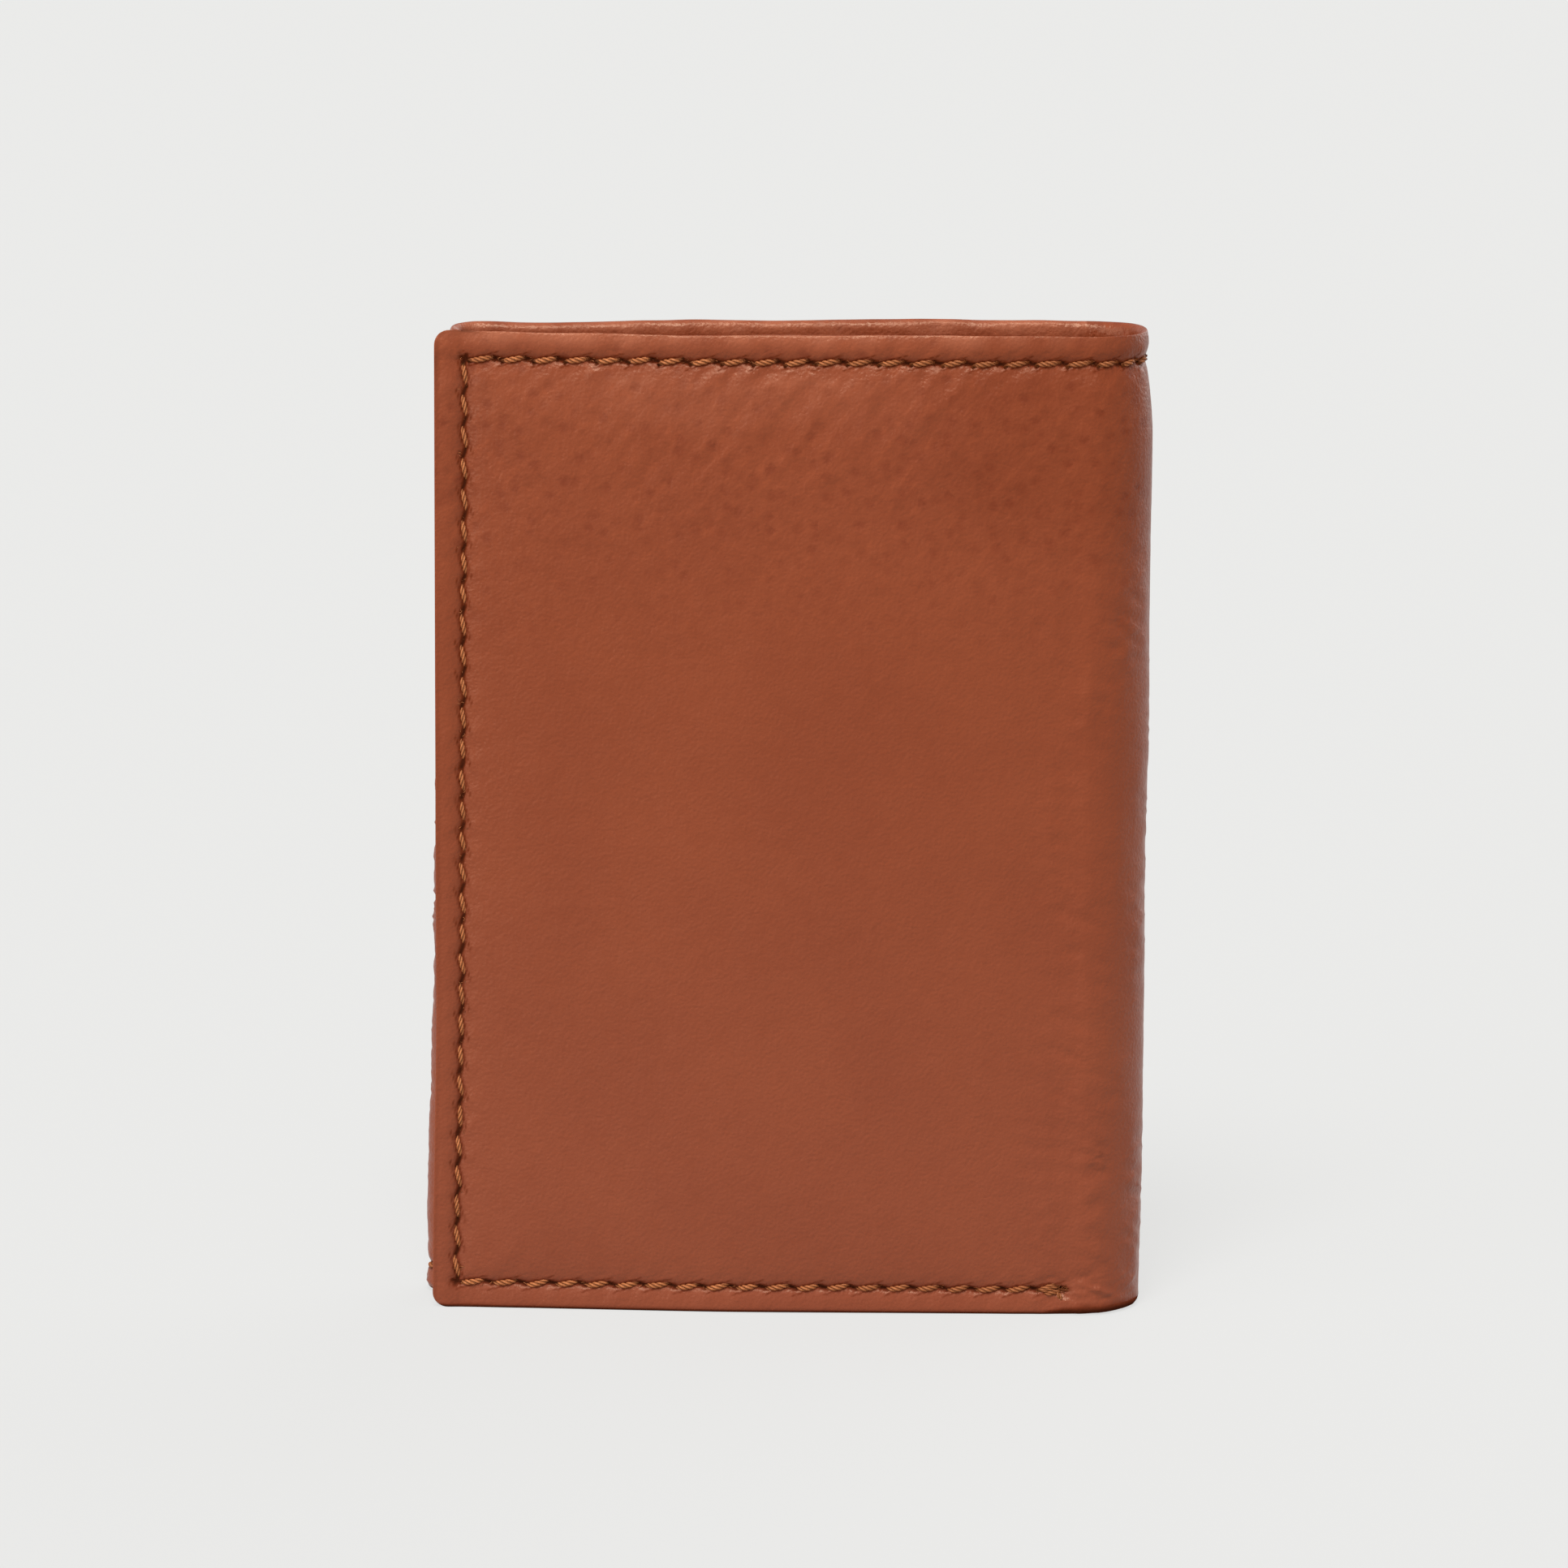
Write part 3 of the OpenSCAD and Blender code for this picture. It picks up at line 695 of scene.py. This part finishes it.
def hide_painted_shade(s, z, f):
    """How much painted shade the hide has: in the seams of its outer face, as a painted contact shadow along
    its underside, widest under the large fold, a little low down, and high up towards the large fold."""
    under_fold = between(s, S_FOLD - 4 * MM, S_FOLD - 3 * MM, S_FOLD + 8 * MM, S_FOLD + 14 * MM)
    reach = (0.38 + 0.60 * under_fold * ease(S_FOLD - 5 * MM, S_FOLD + 1 * MM, s)) * MM
    # Painted contact shadow along the bottom edge, widest under the large fold.
    underside = np.exp(-(((z - edges(s)[0]) / reach) ** 4))
    # Painted shade low down near the floor, and high up towards the large fold.
    low_down = 0.05 * (1 - ease(0, 4 * MM, z))
    shaded = 0.12 * ease(50 * MM, 66 * MM, s) * ease(84 * MM, 97 * MM, z)
    shaded = shaded * (1 - ease(S_FOLD + 10 * MM, S_FOLD + 18 * MM, s)) * (f < 0.4)
    return np.maximum(seams_of_hide(s, z)[1] * (f < 0.4), np.maximum(underside, low_down + shaded))


def hide_highlight(s, z):
    """Painted highlight on the hide: in a band and in streaks under the top seam, and along its top rim."""
    u, v = s / MM, z / MM
    below = (TOP_SEAM - z) / MM
    frayed = below + 2.5 * HIDE_NOISE(u / 6, v / 9)
    band = ease(0.4, 2.5, below) * (1 - ease(4, 10, frayed))
    rim = bump(z, HEIGHT, 1.4 * MM) * np.clip(0.8 + 0.6 * WRINKLE_NOISE(u / 2.4, z * 0 + 3), 0, 1.4)
    rim = rim * (1 - 0.8 * ease(58, 80, u) * (s < S_BACK))
    along = 0.35 + 0.65 * ease(12, 24, u) * (1 - 1.9 * ease(38, 66, u))
    streaks = bump(below + 0.4 * HIDE_NOISE(u / 7 + 9, z * 0), 2.4, 0.55)
    streaks = streaks * np.clip(0.1 + 1.3 * WRINKLE_NOISE(u / 2.1 + 50, v / 1.2), 0, 1)
    streaks = streaks * np.clip(along, 0, 1)
    return np.clip(0.09 * band * along + 0.16 * streaks + 0.38 * rim, 0, 1)


def edges(s):
    """Heights of the bottom and top edges along the strip, less those of the plain strip: a large fold that
    lifts off the table, a slight wave, a top pinched down round the small fold, and a shorter inner flap."""
    wave = 0.16 * layered(EDGE_NOISE, s / MM / 13, s * 0 + 0.5, 3) * MM
    inner = ease(S_INNER_FOLD + 4 * MM, S_INNER_FLAP + 4 * MM, s)
    lift = 0.10 * MM * ease(S_FOLD - 6 * MM, S_FOLD + 5 * MM, s)
    lift = lift * (1 - ease(S_BACK - 6 * MM, S_BACK, s))
    pinch = (0.5 * bump(s, S_INNER_CUT, 5 * MM) + 0.38 * bump(s, S_INNER_FOLD - 10 * MM, 16 * MM)) * MM
    return lift + inner * FLAP_BOTTOM, wave - pinch - inner * (HEIGHT - FLAP_TOP)


def make_leather(place):
    start, end = SPANS[place]
    ends = {}
    cols = spaced(start, end, 0.36 * MM, fine_at=(EDGE_SEAM, TIP_SEAM), fine=0.2 * MM)
    turn = np.sin(np.linspace(0, math.pi / 2, 8))
    if start == 0:
        cols = np.concatenate([EDGE_ROUND * (1 - turn[::-1]), cols[cols > EDGE_ROUND]])
        ends["round_start"] = EDGE_ROUND
    if end == S_TIP:
        cols = np.concatenate([cols[cols < S_TIP - EDGE_ROUND], S_TIP - EDGE_ROUND * (1 - turn)])
        ends["round_end"] = EDGE_ROUND
    rows = spaced(0, HEIGHT, 0.5 * MM, fine_at=(TOP_SEAM, BOTTOM_SEAM), fine=0.2 * MM)
    piece = sheet(f"leather_{place}", cols, rows, LEATHER_T, corner=CORNER_R, outside=hide_outside,
                  inside=gathers, shift=edges, darkness=hide_painted_shade, rim_steps=9, **ends)
    dress(piece, HIDE, "outer_leather", *nodes_of("shell", place))
    bend(piece)


# ---------------------------------------------------------------- layers behind the leather

def squeeze(s, z):
    """How open the layers lie: 0 where a seam pinches them together, 1 in the middle of a panel or a fold."""
    along = between(s, EDGE_SEAM, PINCH_REACH, S_TIP - PINCH_REACH, TIP_SEAM)
    in_fold = between(s, S_FOLD - FOLD_REACH, S_FOLD, S_BACK, S_BACK + FOLD_REACH)
    in_small_fold = between(s, S_INNER_FOLD - FOLD_REACH, S_INNER_FOLD,
                            S_INNER_FLAP, S_INNER_FLAP + FOLD_REACH)
    return along * np.maximum(ease(BOTTOM_SEAM, PINCH_REACH, z), np.maximum(in_fold, in_small_fold))


def wall_top(s, z):
    pinched = LEATHER_T + 0.05 * MM
    return pinched + (WALL_DEPTH - pinched) * squeeze(s, z)


def soft_face(high):
    """Relief of a pocket's or wall's inner face: a pressed line under its top edge, and soft waves."""
    def relief(s, z):
        line = -0.10 * bump(z, high - PRESSED_LINE, 0.28 * MM)
        waves = 0.05 * layered(HIDE_NOISE, s / MM / 9 + high / MM, z / MM / 9, 3)
        fine = 0.012 * layered(HIDE_NOISE, s / MM / 1.3, z / MM / 1.3, 2)
        return (line + waves + fine) * MM
    return relief


def span_inside(place, margin):
    """A span that stops short of the hide's free ends."""
    start, end = SPANS[place]
    return start + margin * (start == 0), end - margin * (end == S_TIP)


def make_lining(place):
    start, end = span_inside(place, LINING_INSET)
    low, high = LINING_INSET, HEIGHT - TURNED_EDGE
    piece = sheet(f"lining_{place}", spaced(start, end, 1.2 * MM), spaced(low, high, 1.5 * MM), LINING_T,
                  top=lambda s, z: LEATHER_T - LINING_SUNK + 0 * s, rim=0.1 * MM)
    dress(piece, LINING, "lining", *nodes_of("lining", place))
    bend(piece)
    return piece, (end - start, high - low)


def make_wall(place):
    start, end = span_inside(place, WALL_INSET)
    rows = spaced(WALL_INSET, WALL_TOP, 1.0 * MM, fine_at=(WALL_TOP - PRESSED_LINE,), fine=0.25 * MM)
    piece = sheet(f"note_wall_{place}", spaced(start, end, 0.8 * MM), rows, WALL_T, top=wall_top,
                  rim=0.24 * MM, inside=soft_face(WALL_TOP))
    dress(piece, INNER_HIDE, "inner_leather", *nodes_of("bill_wall", place))
    bend(piece)


def strip_box(node):
    """Where a flat CAD layer lies in strip coordinates: s, z and depth, each as low and high."""
    low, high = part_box(node)
    if "outer" in node:
        s = low.x - EDGE_X, high.x - EDGE_X
        depth = low.y + OUTER_R, high.y + OUTER_R
    elif "inner" in node:
        s = S_INNER_FLAP + low.x - INNER_X, S_INNER_FLAP + high.x - INNER_X
        depth = low.y - INNER_Y + INNER_R, high.y - INNER_Y + INNER_R
    else:
        s = S_BACK + OUTER_X - high.x, S_BACK + OUTER_X - low.x
        depth = OUTER_R - high.y, OUTER_R - low.y
    return s, (low.z, high.z), depth


def layer_top(node, order):
    """Depth of a pocket layer's outer face. order is how many layers lie between it and the note wall."""
    (start, end), _, (top, bottom) = strip_box(node)
    pinched = WALL_T + 0.03 * MM + order * (bottom - top + 0.02 * MM)

    def depth(s, z):
        own_ends = between(s, start, start + END_REACH, end - END_REACH, end)
        return wall_top(s, z) + pinched + (top - WALL_DEPTH - pinched) * squeeze(s, z) * own_ends
    return depth


def make_pocket(node, order, body):
    (start, end), (low, high), (top, bottom) = strip_box(node)
    rows = spaced(low, high, 0.9 * MM, fine_at=(high - PRESSED_LINE,), fine=0.22 * MM)
    piece = sheet(f"{node}_panel", spaced(start, end, 0.8 * MM), rows, bottom - top,
                  top=layer_top(node, order), rim=0.22 * MM, inside=soft_face(high))
    dress(piece, INNER_HIDE, "inner_leather", node)
    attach(piece, body)


def make_board(node, body):
    """A stiffener, shut in between the hide and its lining."""
    (start, end), (low, high), _ = strip_box(node)
    piece = sheet(f"{node}_board", spaced(start, end, 2 * MM), spaced(low, high, 2 * MM), BOARD_T,
                  top=lambda s, z: BOARD_DEPTH + 0 * s, rim=0.1 * MM)
    dress(piece, BOARD, "stiffener_board", node)
    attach(piece, body)


def rounded_loop(s_range, z_range, radius, count):
    """Points round a rectangle with rounded corners, count to a side, anticlockwise from its lower left."""
    (s0, s1), (z0, z1) = s_range, z_range
    points = []
    corners = [(s1 - radius, z0 + radius, -90), (s1 - radius, z1 - radius, 0),
               (s0 + radius, z1 - radius, 90), (s0 + radius, z0 + radius, 180)]
    for k, (cs, cz, angle) in enumerate(corners):
        turn = np.radians(angle + np.linspace(0, 90, 9))
        arc = np.stack([cs + radius * np.cos(turn), cz + radius * np.sin(turn)], -1)
        ns, nz, next_angle = corners[(k + 1) % 4]
        first = np.radians(next_angle)
        target = np.array([ns + radius * np.cos(first), nz + radius * np.sin(first)])
        steps = np.linspace(0, 1, count + 1)[1:-1, None]
        points += [arc, arc[-1] + (target - arc[-1]) * steps]
    return np.concatenate(points)


def make_window_frame(node, body, order):
    """The leather frame round the clear window: a ring of four bars with rounded edges."""
    (start, end), (low, high), (top, bottom) = strip_box(node)
    rim, thick = FRAME_RIM, bottom - top
    outer = rounded_loop((start, end), (low, high), 0.8 * MM, 90)
    hole = rounded_loop((start + rim, end - rim), (low + rim, high - rim), 3 * MM, 90)
    width = np.linalg.norm(outer - hole, axis=1)[:, None]
    turn = np.linspace(0, np.pi, 7)
    face = np.linspace(0.12, 0.88, 12)
    curve = FRAME_ROUND * (1 - np.sin(turn))
    near, far = curve / rim, 1 - curve / rim
    across = np.concatenate([face, far, face[::-1], near])
    f = np.concatenate([face * 0, (1 - np.cos(turn)) / 2, face * 0 + 1, (1 + np.cos(turn)) / 2])
    share = np.clip(across * rim / np.maximum(width, rim), 0, 1)
    share = np.where(across > 0.5, 1 - (1 - across) * rim / np.maximum(width, rim), share)
    points = outer[:, None, :] + (hole - outer)[:, None, :] * share[:, :, None]
    s, z = points[..., 0], points[..., 1]
    depth = layer_top(node, order)(s, z) + f * thick
    crease = 0.10 * bump(across, 0.24, 0.045) * (f > 0.9) * MM
    x, y, nx, ny = plan(s)
    out = lie(s, z) - depth + crease
    co = np.stack([x + nx * out, y + ny * out, z], -1).reshape(-1, 3)
    index = np.arange(s.size).reshape(s.shape)
    ahead, up = np.roll(index, -1, axis=0), np.roll(index, -1, axis=1)
    faces = np.stack([index, ahead, np.roll(ahead, -1, axis=1), up], -1).reshape(-1, 4).tolist()
    piece = new_object(f"{node}_ring", co, faces)
    store(piece, "strip", np.stack([s, z, depth], -1), "FLOAT_VECTOR")
    dress(piece, INNER_HIDE, "inner_leather", node)
    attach(piece, body)


def make_film(node, body, order):
    """The clear window, slightly slack between its edges."""
    (start, end), (low, high), (top, bottom) = strip_box(node)
    piece = sheet(f"{node}_pane", spaced(start, end, 1 * MM), spaced(low, high, 1 * MM), bottom - top,
                  top=layer_top(node, order), rim=0.1 * MM,
                  inside=lambda s, z: 0.10 * MM * layered(FOLD_NOISE, s / MM / 16, z / MM / 22, 2))
    dress(piece, VINYL, "clear_film", node)
    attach(piece, body)


# ---------------------------------------------------------------- thread

def thread_mesh(centre, axis_out, radius, segments, plies):
    """Twisted plies round each centre line, thinner at its ends, with painted shade between the plies and at
    the ends.
    centre and axis_out are (lines, steps, 3)."""
    tangent = np.gradient(centre, axis=1)
    tangent /= np.linalg.norm(tangent, axis=2, keepdims=True)
    side = np.cross(tangent, axis_out)
    side /= np.linalg.norm(side, axis=2, keepdims=True)
    up = np.cross(side, tangent)
    run = np.cumsum(np.linalg.norm(np.diff(centre, axis=1, prepend=centre[:, :1]), axis=2), axis=1)
    phase = RNG.uniform(0, 2 * np.pi, (len(centre), 1))
    twist = 2 * np.pi * run / TWIST_PITCH + phase
    round_ply = np.linspace(0, 2 * np.pi, segments, endpoint=False)
    radius = (radius * (0.58 + 0.42 * np.sin(np.linspace(0, np.pi, centre.shape[1])) ** 0.7))[None, :, None]
    # Painted shade at the thread's ends, where it dives into the holes.
    fade = np.clip(1.5 * np.sin(np.linspace(0, np.pi, centre.shape[1])), 0, 1)
    vertices, shades = [], []
    for k in range(plies):
        a = twist + 2 * np.pi * k / plies
        middle = centre + 0.50 * radius * (np.cos(a)[..., None] * up + np.sin(a)[..., None] * side)
        for b in round_ply:
            turn = a + b
            away = np.cos(turn)[..., None] * up + np.sin(turn)[..., None] * side
            vertices.append(middle + 0.53 * radius * away)
            # Painted shade between the plies and a painted highlight on their crests.
            shades.append(np.broadcast_to((0.5 + 0.5 * math.cos(b)) * fade, run.shape))
    return np.array(vertices), np.array(shades)


def tube_faces(lines, steps, plies, segments, offset):
    """Faces of every ply tube, for vertices in the order ply, place round the ply, line, step."""
    index = np.arange(plies * segments * lines * steps).reshape(plies, segments, lines, steps) + offset
    across = np.roll(index, -1, axis=1)
    quads = np.stack([index[..., :-1], index[..., 1:], across[..., 1:], across[..., :-1]], -1)
    caps = [index[k, :, i, e][:: (1 if e == 0 else -1)].tolist()
            for k in range(plies) for i in range(lines) for e in (0, -1)]
    return quads.reshape(-1, 4).tolist() + caps


def place_lines(s, z, out):
    """Points and outward directions of lines given in strip coordinates."""
    x, y, nx, ny = place_on(s, z)
    return np.stack([x + nx * out, y + ny * out, z], -1), np.stack([nx, ny, 0 * nx], -1)


def stitches_of(seam):
    """The seam's axis, then each stitch's place across it and along it, random lean and length."""
    axis, place, start, end = seam
    middles, pitch = stitch_line(start, end)
    lean = LEANS[axis] * (SLANT + RNG.normal(0, 0.05, len(middles)))
    long = pitch * RNG.uniform(0.76, 0.84, len(middles))
    return axis, place - wander(middles) + drift(axis, middles), middles, lean, long


def stitch_paths(seam, keep, steps, lift, surface, side):
    """Centre lines of a seam's stitches on one face of the layers, each diving into its holes."""
    axis, place, middles, lean, long = stitches_of(seam)
    t = np.linspace(-0.5, 0.5, steps)[None, :]
    along = middles[:, None] + t * long[:, None]
    across = place[:, None] + t * long[:, None] * np.tan(lean)[:, None]
    s, z = (along, across) if axis == "s" else (across, along)
    chosen = keep(middles if axis == "s" else place)
    level = surface(s, z).mean(axis=1, keepdims=True) * 0.6 + surface(s, z) * 0.4
    arch = np.clip(np.cos(np.pi * t), 0, 1) ** 0.7
    out = level + side * (lift * arch - DIVE * (1 - arch))
    return s[chosen], z[chosen], out[chosen]


def hide_surface(s, z):
    """How far out stitches lie on the hide's outer face, a little sunk into it."""
    return lie(s, z) + hide_relief(s, z) - 0.40 * MM


def inner_surface(s, z):
    """Inner face of the layers where a seam comes out on the inside."""
    depth = np.where(z > WALL_TOP, LEATHER_T, wall_top(s, z) + WALL_T)
    for node, order in LAYERS:
        (start, end), (low, high), (top, bottom) = strip_box(node)
        on = (s > start) & (s < end) & (z > low) & (z < high)
        depth = np.where(on, layer_top(node, order)(s, z) + bottom - top, depth)
    return lie(s, z) - depth


def make_thread(place):
    start, end = SPANS[place]
    keep = lambda s: (s >= start) & (s < end) if end != S_TIP else s >= start
    vertices, shades, strips, faces, offset = [], [], [], [], 0

    def add(s, z, out, radius, segments, plies=3):
        nonlocal offset
        if not len(s):
            return
        centre, away = place_lines(s, z, out)
        lines, steps = s.shape
        points, shade = thread_mesh(centre, away, radius, segments, plies)
        vertices.append(points.reshape(-1, 3))
        shades.append(shade.ravel())
        strip = np.stack([s, z, out], -1)
        strips.append(np.broadcast_to(strip, (plies * segments, *strip.shape)).reshape(-1, 3))
        faces.extend(tube_faces(lines, steps, plies, segments, offset))
        offset += points.size // 3

    for seam in SEAMS:
        upright = seam[0] == "z"
        add(*stitch_paths(seam, keep, 26, (0.14 if upright else 0.20) * MM, hide_surface, 1),
            THREAD_R * (0.84 if upright else 1), 8)
        add(*stitch_paths(seam, keep, 16, 0.12 * MM, inner_surface, -1), THREAD_R * 0.9, 6)
    for seam in INSIDE_SEAMS:
        add(*stitch_paths(seam, keep, 16, 0.12 * MM, inner_surface, -1), THREAD_R * 0.8, 6)
    for s, z, rise, radius in short_lines():
        if keep(s[0]):
            out = hide_surface(s, z) + rise
            add(s[None], z[None], out[None], radius, 6, 1 if radius == FIBRE_R else 3)
    piece = new_object(f"thread_{place}", np.concatenate(vertices), faces)
    store(piece, "ply", np.concatenate(shades))
    store(piece, "strip", np.concatenate(strips), "FLOAT_VECTOR")
    dress(piece, THREAD, "thread", *nodes_of("stitching", place))
    bend(piece)


# Stitches of the backtack, each from (s, z) to (s, z) in millimetres from the seam's end
BACKTACK = [((-2.9, -0.15), (-0.9, 0.55)), ((-2.2, -0.55), (-0.3, -0.25)), ((-0.75, -0.3), (-0.15, -1.25))]


def short_lines():
    """Extra stitches at the backtack, then loose fibres there, at the flap's lower corner and along the
    seams. Each is s, z, height over the hide and radius."""
    rng = np.random.default_rng(5)
    lines = []
    for start, end in BACKTACK:
        t = np.linspace(0, 1, 22)
        s = BACKTACK_S + (start[0] + (end[0] - start[0]) * t) * MM
        z = BOTTOM_SEAM + (start[1] + (end[1] - start[1]) * t) * MM
        lines.append((s, z, (0.42 * np.sin(np.pi * t) ** 0.6 - 0.1) * MM, THREAD_R * 0.9))
    tufts = [(BACKTACK_S - 0.3 * MM, BOTTOM_SEAM, 16, 1.3), (EDGE_SEAM, BOTTOM_SEAM + 1.6 * MM, 8, 0.9)]
    for axis, place, first, last in SEAMS[:2] + SEAMS[3:4]:
        for along in stitch_line(first, last)[0]:
            on_hole = along + 0.5 * STITCH_PITCH
            s0, z0 = (on_hole, place) if axis == "s" else (place, on_hole)
            tufts.append((s0, z0, int(rng.integers(0, 4)), 0.55))
    for s0, z0, count, spread in tufts:
        for _ in range(count):
            angle = rng.uniform(0, 2 * np.pi)
            length = rng.uniform(0.5, 1.0) * spread * MM
            t = np.linspace(0, 1, 8)
            bend_by = rng.normal(0, 0.7) * t * t
            s = s0 + rng.normal(0, 0.25 * MM) + length * t * np.cos(angle + bend_by)
            z = z0 + rng.normal(0, 0.15 * MM) + length * t * np.sin(angle + bend_by) * 0.8
            rise = (0.25 * np.sin(np.pi * t * rng.uniform(0.5, 0.9)) - 0.02) * MM
            lines.append((s, z, rise, FIBRE_R))
    return lines


# ---------------------------------------------------------------- making the wallet

LAYERS = [
    ("card_pocket_outer_1", 0), ("card_pocket_outer_2", 1), ("card_pocket_outer_3", 2),
    ("card_pocket_inner_1", 0), ("card_pocket_inner_2", 1),
    ("slip_pocket_centre", 0), ("id_window_film", 1), ("id_window_frame", 1.5),
]
LAYER_BODY = {"outer": "outer_flap", "inner": "inner_flap"}

# Seams that hold a pocket panel's fold-side edge to the note wall, and don't reach the hide
INSIDE_SEAMS = [("z", edge, BOTTOM_SEAM, strip_box(node)[1][1] - 1 * MM) for node, edge in (
    ("card_pocket_outer_3", strip_box("card_pocket_outer_3")[0][1] - 2 * MM),
    ("card_pocket_inner_2", strip_box("card_pocket_inner_2")[0][0] + 2 * MM),
    ("id_window_frame", strip_box("id_window_frame")[0][0] + 2 * MM),
    ("id_window_frame", strip_box("id_window_frame")[0][1] - 2 * MM),
)]

for place in SPANS:
    make_leather(place)
    make_lining(place)
    make_wall(place)
for node, order in LAYERS:
    body = next((b for word, b in LAYER_BODY.items() if word in node), "centre_panel")
    maker = {"id_window_film": make_film, "id_window_frame": make_window_frame}.get(node)
    if maker:
        maker(node, body, order)
    else:
        make_pocket(node, order, body)
for node, body in (("stiffener_outer_flap", "outer_flap"), ("stiffener_centre", "centre_panel"),
                   ("stiffener_inner_flap", "inner_flap")):
    make_board(node, body)
for place in SPANS:
    make_thread(place)

# ---------------------------------------------------------------- floor, light and camera

def floor_material():
    """Matt pale table: most of its brightness is its own, so that shadows on it stay faint."""
    material, add, put = build_material("pale_floor")
    grain = add("ShaderNodeTexNoise", {"Scale": 40.0, "Detail": 2.0}).outputs["Fac"]
    put("Base Color", mix_colour(add, grain, (0.098, 0.098, 0.097), (0.102, 0.102, 0.101)))
    put("Roughness", 0.9)
    put("Specular IOR Level", 0.0)
    put("Emission Color", (1.0, 1.0, 0.985, 1))
    put("Emission Strength", FLOOR_GLOW)
    return material


def make_floor():
    half = 30.0
    places = np.linspace(-half, half, 21)
    x, y = np.meshgrid(places, places, indexing="ij")
    index = np.arange(x.size).reshape(x.shape)
    faces = np.stack([index[:-1, :-1], index[1:, :-1], index[1:, 1:], index[:-1, 1:]], -1).reshape(-1, 4)
    floor = new_object("floor", np.stack([x, y, 0 * x], -1).reshape(-1, 3), faces.tolist(), smooth=False)
    floor.data.materials.append(floor_material())


def aim(target, place):
    return (Vector(target) - Vector(place)).to_track_quat("-Z", "Y")


def make_sun(name, direction, strength, angle, shadow=True):
    light = bpy.data.lights.new(name, "SUN")
    light.energy, light.angle = strength, math.radians(angle)
    light.use_shadow = shadow
    lamp = bpy.data.objects.new(name, light)
    lamp.rotation_mode = "QUATERNION"
    lamp.rotation_quaternion = Vector(direction).to_track_quat("-Z", "Y")
    bpy.context.scene.collection.objects.link(lamp)


def make_world(horizon, zenith):
    """Soft surroundings, as bright as the floor at the horizon and dimmer overhead."""
    world = bpy.data.worlds.new("studio")
    world.use_nodes = True
    nodes, links = world.node_tree.nodes, world.node_tree.links
    place = nodes.new("ShaderNodeTexCoord")
    axes = nodes.new("ShaderNodeSeparateXYZ")
    fade = nodes.new("ShaderNodeMapRange")
    fade.interpolation_type = "SMOOTHSTEP"
    fade.inputs["From Max"].default_value = 0.8
    ramp = nodes.new("ShaderNodeMix")
    ramp.data_type = "RGBA"
    ramp.inputs[6].default_value = (*horizon, 1)
    ramp.inputs[7].default_value = (*zenith, 1)
    links.new(place.outputs["Generated"], axes.inputs[0])
    links.new(axes.outputs["Z"], fade.inputs["Value"])
    links.new(fade.outputs[0], ramp.inputs["Factor"])
    links.new(ramp.outputs[2], nodes["Background"].inputs["Color"])
    bpy.context.scene.world = world


def make_camera(target, distance, pitch, roll, lens):
    camera = bpy.data.objects.new("camera", bpy.data.cameras.new("camera"))
    pitch = math.radians(pitch)
    back = Vector((0, -math.cos(pitch), math.sin(pitch)))
    place = Vector(target) + back * distance
    camera.rotation_mode = "QUATERNION"
    camera.location = place
    turn = Quaternion((0, 0, 1), math.radians(roll))
    camera.rotation_quaternion = aim(target, place) @ turn
    camera.data.lens = lens
    camera.data.sensor_width = 36
    camera.data.clip_start, camera.data.clip_end = 0.01, 100
    bpy.context.scene.collection.objects.link(camera)
    bpy.context.scene.camera = camera


make_floor()
make_world(horizon=(0.823, 0.823, 0.807), zenith=(0.40, 0.40, 0.40))
make_sun("key", direction=(0.10, 0.50, -0.86), strength=3.15, angle=26)
make_sun("left_fill", direction=(0.80, 0.55, -0.30), strength=1.5, angle=50, shadow=False)
make_sun("back_fill", direction=(-0.60, -0.65, -0.45), strength=1.5, angle=60, shadow=False)
make_camera(target=(-0.9 * MM, -OUTER_R, 62.0 * MM), distance=0.800, pitch=11.3, roll=0.35, lens=162.6)
bpy.context.scene.view_settings.view_transform = "Standard"
